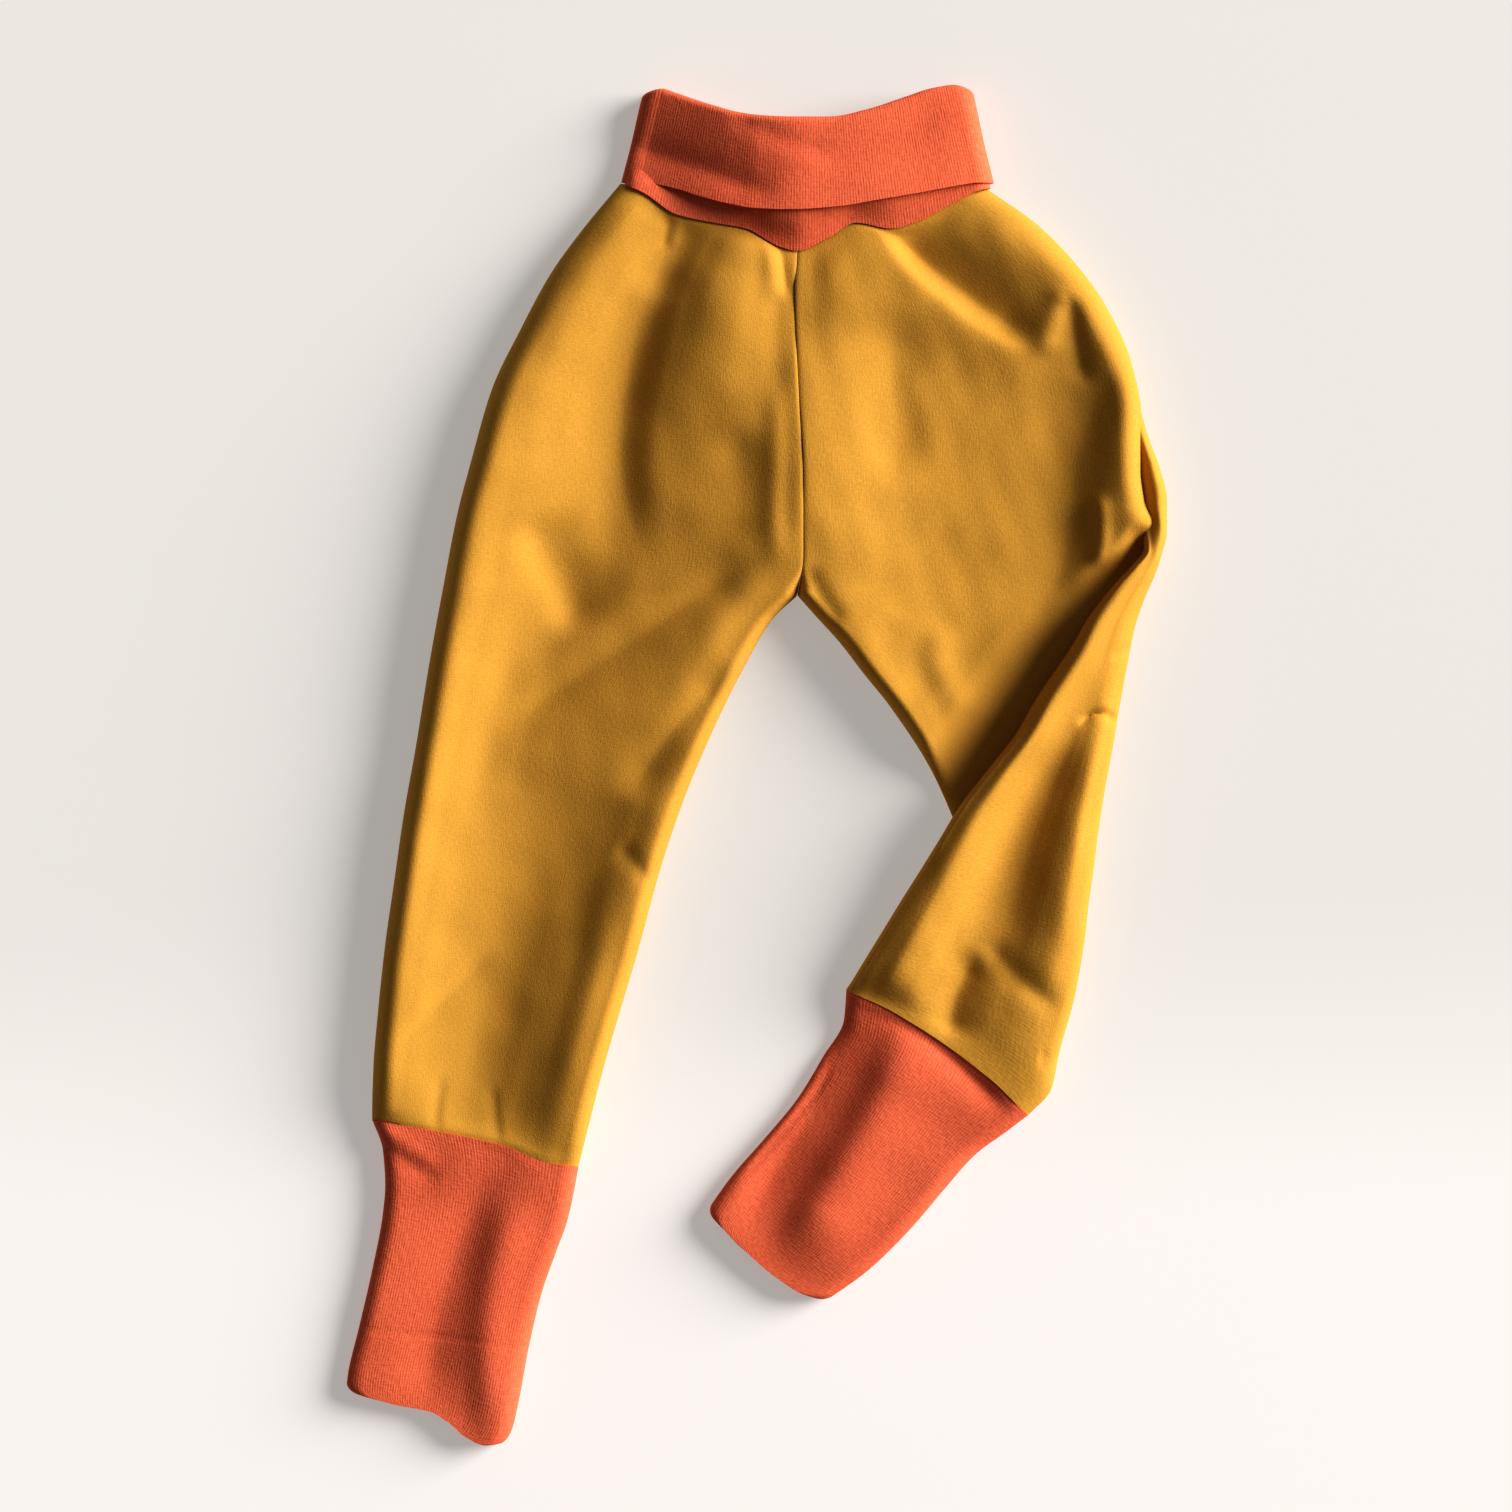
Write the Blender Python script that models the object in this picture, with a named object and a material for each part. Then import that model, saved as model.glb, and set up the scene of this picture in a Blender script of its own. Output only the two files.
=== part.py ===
"""Toddler's outdoor trousers, laid flat with the front up.

Two softshell legs, each one cut with no side seam, meet at the centre front and the
centre back.  A wide rib waistband is turned down once on the outside, and long rib
cuffs close the ankles.  The left lower leg is turned over at the knee along a slanting
crease, so that it lies across the thigh with its back upwards.

+Y points to the waist, +X to the wearer's left, +Z up from the surface underneath.
The tables are in millimetres, read by their column names; MM turns them into metres.
"""

from collections import namedtuple

import bpy
import numpy as np

MM = 0.001

# Cloth thicknesses and gaps
LEG_WALL = 1.6
BAND_WALL = 2.0
CUFF_WALL = 3.0
SEAM_GAP = 0.3
WAIST_GAP = 0.6

# Roundings of a flattened tube of cloth, seen in a cut across it
SIDE_HEIGHT = 6.5
TOP_ROLL = 17.0
UNDER_ROLL = 6.0
SEAM_ROLL = 6.0
SEAM_SINK = 4.0
WIDEST_ROLL_SHARE = 0.42

# Waistband
BAND_HALF_HEIGHT = 5.2
BAND_ROLL = 1.8
FLAP_OFFSET = 2.3
BAND_SLANT_TOP_Y = 290.0
BAND_SLANT_HEM_Y = 252.0

# Turned-over lower leg
PRESSED_HEIGHT = 5.8
PRESSED_EDGE, PRESSED_REACH = 8.0, 30.0
LEDGE = PRESSED_HEIGHT + 0.35
TURNED_LEFT_ROLL, TURNED_RIGHT_ROLL = 9.0, 13.0
TURNED_STEP_WIDTH = 0.8
WIDEST_AT = 0.45

# Cuffs
CUFF_TOP_ROLL, CUFF_UNDER_ROLL = 9.0, 5.0

# The cut edges of the pieces: y along the garment, x across it
Point = namedtuple("Point", "y x")

CENTRE_SEAM = [
    Point(74, 18.0),
    Point(92, 20.5),
    Point(124, 20.5),
    Point(162, 18.5),
    Point(200, 17.0),
    Point(222, 18.0),
]
CROTCH_Y = 74.0

RIGHT_INSEAM = [
    Point(-171, -76),
    Point(-128, -65),
    Point(-77, -50),
    Point(-44, -41),
    Point(-17, -32),
    Point(10, -21),
    Point(43, -5),
    Point(64, 7.5),
    Point(74, 18.0),
]

LEFT_INSEAM = [
    Point(-29, 88),
    Point(-2, 76),
    Point(26, 58),
    Point(41, 46),
    Point(54, 36),
    Point(65, 26),
    Point(74, 18.0),
]

# The seam between the waistband and the legs, as it waves over the front
Wave = namedtuple("Wave", "x y")
WAIST_SEAM = [
    Wave(-64, 251.0),
    Wave(-58, 250.5),
    Wave(-48, 246.5),
    Wave(-34, 237.5),
    Wave(-18, 234.0),
    Wave(-4, 231.5),
    Wave(10, 224.0),
    Wave(18, 222.0),
    Wave(30, 227.0),
    Wave(43, 234.0),
    Wave(58, 231.5),
    Wave(72, 235.5),
    Wave(84, 242.0),
    Wave(99, 248.5),
    Wave(104, 249.0),
]

# Behind, it runs straight from each hip to the centre back: three x, then their three y
BACK_WAIST = (-58.0, 18.0, 99.0), (250.5, 222.0, 248.5)

# Sections across a leg, from the waist down: where the cut meets the inner edge and the
# outer edge, how high the cloth stands, and how much its outer and inner rims swell
Section = namedtuple("Section", "along inner_y outer_x outer_y top outer_rim inner_rim")

RIGHT_LEG = [
    Section(0, 222, -58.0, 250.5, 14.7, 0.0, 0.0),
    Section(20, 206, -75, 230, 16.5, 3.0, 1.0),
    Section(38, 193, -88, 212, 17.5, 4.5, 2.5),
    Section(60, 175, -101, 188, 18.0, 5.5, 3.5),
    Section(85, 154, -113, 163, 18.0, 6.0, 4.0),
    Section(115, 128, -122, 132, 18.0, 6.0, 4.5),
    Section(140, 104, -128, 109, 17.5, 6.0, 4.0),
    Section(172, 74, -134, 78, 17.0, 6.0, 1.0),
    Section(200, 48, -140, 45, 16.5, 5.5, 3.0),
    Section(238, 10, -146, 8, 16.0, 5.5, 4.0),
    Section(268, -17, -151, -20, 15.5, 5.0, 4.5),
    Section(296, -44, -155, -48, 15.0, 5.0, 4.5),
    Section(326, -77, -159, -76, 14.5, 4.5, 4.5),
    Section(354, -105, -162, -104, 14.5, 4.0, 4.5),
    Section(378, -132, -164, -128, 14.0, 3.0, 4.0),
    Section(402, -162, -164.5, -146, 12.5, 1.0, 2.0),
    Section(409, -171, -164.5, -151, 10.5, 0.0, 0.0),
]

LEFT_LEG = [
    Section(0, 222, 99.0, 248.5, 14.7, 0.0, 0.0),
    Section(20, 206, 121, 233, 17.0, 2.0, 1.0),
    Section(38, 193, 136, 218, 18.0, 3.0, 2.5),
    Section(60, 175, 150, 199, 18.5, 4.0, 3.0),
    Section(85, 154, 161, 175, 18.5, 5.0, 3.5),
    Section(110, 128, 169, 152, 18.5, 6.0, 3.5),
    Section(135, 104, 175, 129, 18.0, 4.0, 2.0),
    Section(160, 82, 176.5, 108, 17.5, 0.0, 1.0),
    Section(176, 70, 167, 92, 17.0, 0.0, 1.0),
    Section(192, 56, 158, 73, 16.5, 0.0, 3.0),
    Section(210, 41, 149, 51, 16.5, 0.0, 4.0),
    Section(230, 24, 139, 31, 16.0, 0.0, 4.0),
    Section(250, 6, 128, 11, 15.5, 0.0, 3.5),
    Section(268, -10, 116, -7, 14.0, 0.0, 2.0),
    Section(284, -24, 102, -22, 12.5, 0.0, 1.0),
]

# Folds in the cloth: soft ridges (height above 0) and troughs (below 0) between two places
Fold = namedtuple("Fold", "start_x start_y end_x end_y half_width height")

RIGHT_FOLDS = [
    Fold(-24, 238, -37, 208, 11, -5.5),
    Fold(-37, 208, -42, 160, 12, -6.0),
    Fold(-42, 160, -52, 105, 12, -4.5),
    Fold(-11, 232, -4, 168, 10, 4.5),
    Fold(4, 150, 4, 82, 8, -4.5),
    Fold(6, 88, -66, 42, 9, -4.5),
    Fold(-66, 42, -103, 21, 10, -3.5),
    Fold(-18, 33, -50, 3, 8, -4.5),
    Fold(-50, 3, -58, -44, 8, -3.5),
    Fold(-73, -45, -80, -90, 9, -4.5),
    Fold(-80, -90, -98, -150, 12, -4.5),
    Fold(-122, -89, -147, -113, 6, -2.0),
]

LEFT_FOLDS = [
    Fold(38, 235, 35, 150, 9, 3.0),
    Fold(35, 150, 34, 75, 9, 3.5),
    Fold(46, 233, 76, 211, 8, 4.0),
    Fold(76, 211, 131, 181, 9, 5.0),
    Fold(64, 228, 102, 213, 8, -3.5),
    Fold(64, 208, 64, 167, 12, -5.5),
    Fold(64, 167, 58, 130, 12, -4.0),
    Fold(113, 216, 117, 184, 8, -3.5),
    Fold(152, 172, 142, 148, 11, -6.0),
    Fold(142, 148, 138, 100, 11, -6.0),
    Fold(26, 78, 34, 64, 6, -2.5),
]

# Sections across the turned-over lower leg, from the knee to the ankle seam: left edge,
# right edge (the crease) and height.  Underneath, a ledge of this width and height rests
# over the thigh, and the rest stands on its foot at the crease.
Turned = namedtuple("Turned", "along left_x left_y right_x right_y top ledge ledge_z foot_z")

TURNED_LEG = [
    Turned(0, 170.5, 100, 175.5, 99, 11.5, 3.0, LEDGE, LEDGE),
    Turned(10, 164, 94, 173.5, 91, 16.0, 7.0, LEDGE, LEDGE),
    Turned(28, 152, 79, 167, 74, 22.0, 11.0, LEDGE, 0.0),
    Turned(44, 143, 65, 163, 61, 26.0, 14.5, LEDGE, 0.0),
    Turned(60, 134, 50, 159.5, 44, 28.0, 18.5, LEDGE, 0.0),
    Turned(82, 121, 31, 156, 25, 29.0, 22.0, LEDGE, 0.0),
    Turned(102, 111, 14, 153, 7, 29.0, 24.0, LEDGE, 0.0),
    Turned(120, 100, 0, 150, -9, 28.0, 25.0, LEDGE, 0.0),
    Turned(141, 87, -17, 147, -28, 26.0, 26.0, LEDGE, 0.0),
    Turned(158, 78.5, -31, 145, -44, 24.0, 26.0, LEDGE, 0.0),
    Turned(172, 71.5, -42.5, 143, -58, 22.5, 26.0, 0.0, 0.0),
    Turned(188, 63, -56, 141, -75, 21.5, 26.0, 0.0, 0.0),
    Turned(210, 52, -74, 137, -98, 19.5, 26.0, 0.0, 0.0),
    Turned(228, 44, -87, 130.5, -122, 16.5, 26.0, 0.0, 0.0),
    Turned(240, 39, -95, 117, -149, 11.0, 26.0, 0.0, 0.0),
]

TURNED_FOLDS = [
    Fold(157, 72, 105, -14, 9, 3.5),
    Fold(105, -14, 71, -82, 9, 3.5),
    Fold(140, 8, 127, -35, 9, -5.0),
    Fold(127, -35, 118, -70, 9, -4.0),
    Fold(98, -96, 98, -110, 8, -3.5),
    Fold(84, -106, 84, -120, 8, -3.0),
]

# Sections across a cuff, from the ankle seam to the hem
Cuff = namedtuple("Cuff", "along left_x left_y right_x right_y top")

RIGHT_CUFF = [
    Cuff(0, -164.5, -151, -76, -171, 9.6),
    Cuff(13, -160, -164, -78, -182, 10.0),
    Cuff(27, -159, -179, -81, -195, 10.0),
    Cuff(40, -160, -191, -85, -206, 10.0),
    Cuff(64, -164.5, -215, -92, -226, 9.8),
    Cuff(88, -170, -239, -97, -247, 9.6),
    Cuff(109, -175, -260, -101, -267, 9.2),
    Cuff(120, -176, -268, -105, -287, 8.8),
]

LEFT_CUFF = [
    Cuff(0, 39, -95, 117, -149, 9.6),
    Cuff(12, 38, -108, 108, -156, 10.2),
    Cuff(30, 29, -124, 94.5, -166, 10.2),
    Cuff(52, 18, -142, 81, -181, 10.0),
    Cuff(74, 4, -159, 66.5, -198, 9.8),
    Cuff(96, -10, -175, 48, -216, 9.4),
    Cuff(116, -21.5, -191, 28.5, -230, 8.8),
]

RIGHT_CUFF_FOLDS = [
    Fold(-120, -193, -124, -240, 8, -1.5),
    Fold(-124, -240, -120, -277, 9, -1.5),
]

LEFT_CUFF_FOLDS = [
    Fold(60, -118, 92, -142, 6, -1.5),
    Fold(66, -139, 35, -172, 8, -1.5),
]

# How a cut edge bows away from the straight line between its ends, at shares of its width
Bow = namedtuple("Bow", "share away")
RIGHT_ANKLE = [Bow(0, 0), Bow(0.3, 1.5), Bow(0.6, 2.0), Bow(0.85, -1.0), Bow(1, 0)]
LEFT_ANKLE = [Bow(0, 0), Bow(0.25, 4.0), Bow(0.5, 5.0), Bow(0.75, 4.0), Bow(1, 0)]
RIGHT_HEM = [Bow(0, 0), Bow(0.25, 3.0), Bow(0.5, 3.0), Bow(0.75, -2.0), Bow(1, 0)]
LEFT_HEM = [Bow(0, 0), Bow(0.3, 1.0), Bow(0.65, -2.0), Bow(1, 0)]
BOW_REACH = 30.0

# The turned-down part of the waistband, at shares of its width from right hip to left hip
Band = namedtuple("Band", "share top_y hem_y swell")
BAND = [
    Band(0.00, 290.0, 253.0, 0.0),
    Band(0.08, 291.0, 250.5, 0.5),
    Band(0.20, 286.0, 245.0, -1.0),
    Band(0.36, 280.0, 240.0, -1.5),
    Band(0.50, 278.5, 239.0, 0.5),
    Band(0.66, 280.5, 241.0, 0.5),
    Band(0.82, 287.0, 246.5, 1.0),
    Band(0.93, 292.0, 250.0, 0.5),
    Band(1.00, 290.0, 251.5, 0.0),
]
STRIP_PARTS = (0.0, 0.35, 0.7)
FLAP_PARTS = (0.3, 0.65, 1.0)
BAND_FRONT_STEPS, BAND_BACK_STEPS, BAND_CORNER_STEPS, BAND_ROLL_STEPS = 30, 14, 6, 5
BAND_TOP_LEFT, BAND_TOP_RIGHT = -48.0, 93.0
BAND_HEM_LEFT, BAND_HEM_RIGHT = -57.5, 102.0


def smooth(table, key, column, at):
    """One column of a table against another, read from a curve that never overshoots."""
    knots = np.array([getattr(row, key) for row in table], float)
    values = np.array([getattr(row, column) for row in table], float)
    slopes = np.diff(values) / np.diff(knots)
    before, after = slopes[:-1], slopes[1:]
    rising = before * after > 0
    total = np.where(rising, before + after, 1.0)
    middle = np.where(rising, 2 * before * after / total, 0.0)
    tangents = np.concatenate([slopes[:1], middle, slopes[-1:]])
    at = np.clip(np.asarray(at, float), knots[0], knots[-1])
    cell = np.clip(np.searchsorted(knots, at, side="right") - 1, 0, len(knots) - 2)
    width = np.diff(knots)[cell]
    t = (at - knots[cell]) / width
    start = values[cell] * (1 + 2 * t) * (1 - t) ** 2 + tangents[cell] * width * t * (1 - t) ** 2
    end = values[cell + 1] * t**2 * (3 - 2 * t) - tangents[cell + 1] * width * t**2 * (1 - t)
    return start + end


def fade(value, start, end):
    """0 at start, 1 at end, with a soft slope between them."""
    t = np.clip((value - start) / (end - start), 0, 1)
    return t * t * (3 - 2 * t)


def fold_height(x, y, folds):
    """The sum of soft ridges and troughs at the places x, y."""
    total = np.zeros_like(x)
    for fold in folds:
        run_x, run_y = fold.end_x - fold.start_x, fold.end_y - fold.start_y
        share = ((x - fold.start_x) * run_x + (y - fold.start_y) * run_y) / (run_x**2 + run_y**2)
        share = np.clip(share, 0, 1)
        away = np.hypot(x - fold.start_x - share * run_x, y - fold.start_y - share * run_y)
        total += fold.height * np.exp(-((away / fold.half_width) ** 2))
    return total


def tube_profile(width, inner_roll, outer_roll, under_inner, under_outer, counts):
    """A cut across a flattened tube: distances from the inner edge, and shares of height.

    It runs over the top from the inner edge to the outer one, and back underneath.
    counts holds the steps in a roll, over the top, in an under roll and underneath.
    """
    roll_steps, top_steps, under_steps, base_steps = counts
    turn = np.linspace(0, np.pi / 2, roll_steps + 1)
    under_turn = np.linspace(0, np.pi / 2, under_steps + 1)
    span = np.linspace(0, 1, top_steps + 1)[1:-1]
    base = np.linspace(0, 1, base_steps + 1)[1:-1]
    width, inner_roll, outer_roll, under_inner, under_outer = (
        np.asarray(part, float)[:, None]
        for part in (width, inner_roll, outer_roll, under_inner, under_outer)
    )
    over = [
        inner_roll * (1 - np.cos(turn)),
        inner_roll + (width - inner_roll - outer_roll) * span,
        width - outer_roll * (1 - np.cos(turn[::-1])),
    ]
    below = [
        width - under_outer * (1 - np.cos(under_turn[1:])),
        width - under_outer + (under_outer + under_inner - width) * base,
        under_inner * (1 - np.cos(under_turn[::-1])),
    ]
    rise = np.concatenate([np.sin(turn), np.ones(len(span)), np.sin(turn[::-1])])
    sink_outer = 1 - np.sin(under_turn[1:])
    sink_inner = 1 - np.sin(under_turn[::-1])
    return np.hstack(over), np.hstack(below), rise, sink_outer, sink_inner, len(base)


def normals_of(grid, closed):
    """Unit normals of a grid of points, rows along the piece and columns across it."""
    down = np.gradient(grid, axis=0)
    if closed:
        across = (np.roll(grid, -1, axis=1) - np.roll(grid, 1, axis=1)) / 2
    else:
        across = np.gradient(grid, axis=1)
    normal = np.cross(down, across)
    return normal / np.linalg.norm(normal, axis=2, keepdims=True)


def walled(grid, wall, closed, flat_rows=True):
    """The inner side of a wall: the grid moved inwards by the wall's thickness.

    At the first and last rows it moves within the upright plane of the cut.
    """
    normal = normals_of(grid, closed)
    if flat_rows:
        for row in (0, -1):
            run = grid[row, :, :2] - grid[row, 0, :2]
            chord = run[np.argmax(np.hypot(*run.T))]
            through = np.array([-chord[1], chord[0], 0]) / np.hypot(*chord)
            normal[row] -= (normal[row] @ through)[:, None] * through
            normal[row] /= np.linalg.norm(normal[row], axis=1, keepdims=True)
    return grid - normal * wall


def add_piece(name, points, faces, material):
    """A named object from points in millimetres, with its faces turned outwards."""
    mesh = bpy.data.meshes.new(name)
    mesh.from_pydata((points * MM).tolist(), [], faces)
    mesh.materials.append(material)
    piece = bpy.data.objects.new(name, mesh)
    bpy.context.scene.collection.objects.link(piece)
    mesh.shade_smooth()
    mesh.set_sharp_from_angle(angle=np.radians(60))
    return piece


def slab(name, outside, inside, closed, material):
    """A cloth wall between two grids of the same size, closed round its cut edges."""
    rows, columns = outside.shape[:2]
    points = np.concatenate([outside.reshape(-1, 3), inside.reshape(-1, 3)])

    def at(side, row, column):
        return side * rows * columns + row * columns + column % columns

    faces = []
    for row in range(rows - 1):
        for column in range(columns if closed else columns - 1):
            here = (row, column), (row + 1, column), (row + 1, column + 1), (row, column + 1)
            faces.append([at(0, *corner) for corner in here])
            faces.append([at(1, *corner) for corner in reversed(here)])

    def cut_edge(first, second, turn):
        edge = [at(0, *first), at(0, *second), at(1, *second), at(1, *first)]
        faces.append(edge[::turn])

    for column in range(columns if closed else columns - 1):
        for row, turn in ((0, 1), (rows - 1, -1)):
            cut_edge((row, column), (row, column + 1), turn)
    if not closed:
        for row in range(rows - 1):
            for column, turn in ((0, -1), (columns - 1, 1)):
                cut_edge((row, column), (row + 1, column), turn)
    return add_piece(name, points, faces, material)


def distance_left_of(x, y, line):
    """Distance from a polyline of (x, y) places, above 0 on its left as it runs down."""
    best = np.full(np.shape(x), np.inf)
    sign = np.ones(np.shape(x))
    for (start_x, start_y), (end_x, end_y) in zip(line[:-1], line[1:]):
        run_x, run_y = end_x - start_x, end_y - start_y
        share = ((x - start_x) * run_x + (y - start_y) * run_y) / (run_x**2 + run_y**2)
        share = np.clip(share, 0, 1)
        away_x, away_y = x - start_x - share * run_x, y - start_y - share * run_y
        away = np.hypot(away_x, away_y)
        nearer = away < best
        side = np.where(run_y * away_x - run_x * away_y > 0, 1.0, -1.0)
        best = np.where(nearer, away, best)
        sign = np.where(nearer, side, sign)
    return best * sign


def plan_points(start, end, distances):
    """Places at these distances along straight cuts from start to end, and the cuts' uprights."""
    course = end - start
    course = course / np.hypot(*course.T)[:, None]
    places = start[:, None, :] + course[:, None, :] * distances[:, :, None]
    upright = np.stack([-course[:, 1], course[:, 0]], axis=1)
    return places, upright


def bowed(places, shares, upright, bow, gap, fading):
    """Moves cuts near a seam so that the seam follows its bow, with its gap."""
    away = smooth(bow, "share", "away", shares) + gap
    return places + upright[:, None, :] * (away * fading[:, None])[:, :, None]


def tube(start, end, height_at, counts, rolls, lows):
    """The outside of a flattened tube: over the top from start to end, then underneath."""
    width = np.hypot(*(end - start).T)
    inner_roll, outer_roll, under_inner, under_outer = (
        np.minimum(roll, WIDEST_ROLL_SHARE * width) for roll in rolls
    )
    over, below, rise, sink_outer, sink_inner, base_count = tube_profile(
        width, inner_roll, outer_roll, under_inner, under_outer, counts
    )
    places_over, upright = plan_points(start, end, over)
    places_below, _ = plan_points(start, end, below)
    height = height_at(places_over, over, width)
    inner_low, outer_low, end_low, base_lift = lows(height, counts[0])
    low = np.zeros_like(height)
    low[:, : counts[0] + 1] = inner_low[:, None]
    low[:, -counts[0] - 1 :] = outer_low[:, None]
    z_over = low + (height - low) * rise
    lift = base_lift[:, None]
    z_below = np.hstack(
        [
            lift + (outer_low[:, None] - lift) * sink_outer,
            np.repeat(lift, base_count, axis=1),
            lift + (end_low[:, None] - lift) * sink_inner,
        ]
    )
    plan = np.concatenate([places_over, places_below], axis=1)
    heights = np.hstack([z_over, z_below])
    shares = np.hstack([over, below]) / width[:, None]
    return plan, heights, shares, upright


# Steps in a side roll, over the top, in an under roll and underneath; rows along a piece
LEG_COUNTS = (3, 14, 2, 3)
LEG_ROW_STEP = 11.5
CUFF_COUNTS = (2, 9, 2, 4)
CUFF_ROW_STEP = 12.0
RIM_AT, RIM_WIDTH = 17.0, 12.0
WAIST_REACH = 50.0
FOLD_FADE = 14.0
BACK_LIFT = 2.3
TURNED_EDGE = [(row.left_x, row.left_y) for row in TURNED_LEG]


def leg_outside(sections, inseam, side, folds, ankle, pressed):
    """The outside of one leg as a grid, from the waist down and round from front to back."""
    length = sections[-1].along
    along = np.linspace(0, length, round(length / LEG_ROW_STEP) + 1)
    inner_y = smooth(sections, "along", "inner_y", along)
    above = inner_y > CROTCH_Y
    inner_x = np.where(
        above, smooth(CENTRE_SEAM, "y", "x", inner_y), smooth(inseam, "y", "x", inner_y)
    )
    inner = np.stack([inner_x + side * SEAM_GAP / 2, inner_y], axis=1)
    outer = np.stack(
        [smooth(sections, "along", "outer_x", along), smooth(sections, "along", "outer_y", along)],
        axis=1,
    )
    open_front = fade(inner_y, CROTCH_Y - 16, CROTCH_Y + 2)
    calm = fade(along, 0, FOLD_FADE)
    if ankle:
        calm = calm * fade(length - along, 0, FOLD_FADE)

    def height_at(places, distances, width):
        x, y = places[..., 0], places[..., 1]
        top = smooth(sections, "along", "top", along)[:, None]
        outer_rim = smooth(sections, "along", "outer_rim", along)[:, None]
        inner_rim = smooth(sections, "along", "inner_rim", along)[:, None]
        from_outer = width[:, None] - distances
        height = top + outer_rim * np.exp(-(((from_outer - RIM_AT) / RIM_WIDTH) ** 2))
        height += inner_rim * np.exp(-(((distances - RIM_AT) / RIM_WIDTH) ** 2))
        height += fold_height(x, y, folds) * calm[:, None]
        if pressed:
            free = fade(distance_left_of(x, y, TURNED_EDGE), PRESSED_EDGE, PRESSED_REACH)
            height = PRESSED_HEIGHT + (height - PRESSED_HEIGHT) * free
        return height

    def lows(height, roll_steps):
        inner_high, outer_high = height[:, roll_steps], height[:, -roll_steps - 1]
        seam_low = np.minimum(SIDE_HEIGHT, inner_high / 2)
        inner_low = seam_low + SEAM_GAP / 2 + (inner_high - SEAM_SINK - seam_low) * open_front
        end_low = (seam_low - SEAM_GAP / 2) * (1 - open_front)
        lift = BACK_LIFT * (1 - fade(along, 0, FOLD_FADE))
        return inner_low, np.minimum(SIDE_HEIGHT, outer_high / 2), np.maximum(end_low, lift), lift

    inner_roll = TOP_ROLL + (SEAM_ROLL - TOP_ROLL) * open_front
    plan, heights, shares, upright = tube(
        inner, outer, height_at, LEG_COUNTS, (inner_roll, TOP_ROLL, UNDER_ROLL, UNDER_ROLL), lows
    )
    over_columns = np.arange(plan.shape[1]) < 2 * LEG_COUNTS[0] + LEG_COUNTS[1] + 1
    wave = smooth(WAIST_SEAM, "x", "y", plan[0, :, 0]) - plan[0, :, 1]
    waist = np.where(over_columns, wave, 0) - WAIST_GAP / 2
    plan[:, :, 1] += waist * (1 - fade(along, 0, WAIST_REACH))[:, None]
    if ankle:
        fading = 1 - fade(length - along, 0, BOW_REACH)
        plan = bowed(plan, 1 - shares, side * upright, ankle, SEAM_GAP / 2, fading)
    grid = np.concatenate([plan, heights[:, :, None]], axis=2)
    return grid if side > 0 else grid[:, ::-1]


def cuff_outside(sections, folds, ankle, hem):
    """The outside of a cuff as a closed grid, from the ankle seam to the hem."""
    length = sections[-1].along
    along = np.linspace(0, length, round(length / CUFF_ROW_STEP) + 1)
    left_x, left_y, right_x, right_y, top = (
        smooth(sections, "along", column, along)
        for column in ("left_x", "left_y", "right_x", "right_y", "top")
    )
    calm = fade(along, 0, FOLD_FADE)

    def height_at(places, distances, width):
        del distances, width
        return top[:, None] + fold_height(places[..., 0], places[..., 1], folds) * calm[:, None]

    def lows(height, roll_steps):
        del roll_steps
        low = np.minimum(height[:, 0], height[:, -1]) / 2
        return low, low, low, np.zeros_like(low)

    left, right = np.stack([left_x, left_y], axis=1), np.stack([right_x, right_y], axis=1)
    rolls = (CUFF_TOP_ROLL, CUFF_TOP_ROLL, CUFF_UNDER_ROLL, CUFF_UNDER_ROLL)
    plan, heights, shares, upright = tube(left, right, height_at, CUFF_COUNTS, rolls, lows)
    fading = 1 - fade(along, 0, BOW_REACH)
    plan = bowed(plan, shares, upright, ankle, -SEAM_GAP / 2, fading)
    fading = 1 - fade(length - along, 0, BOW_REACH)
    plan = bowed(plan, shares, upright, hem, 0.0, fading)
    grid = np.concatenate([plan, heights[:, :, None]], axis=2)
    return grid[:, :-1]


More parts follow.
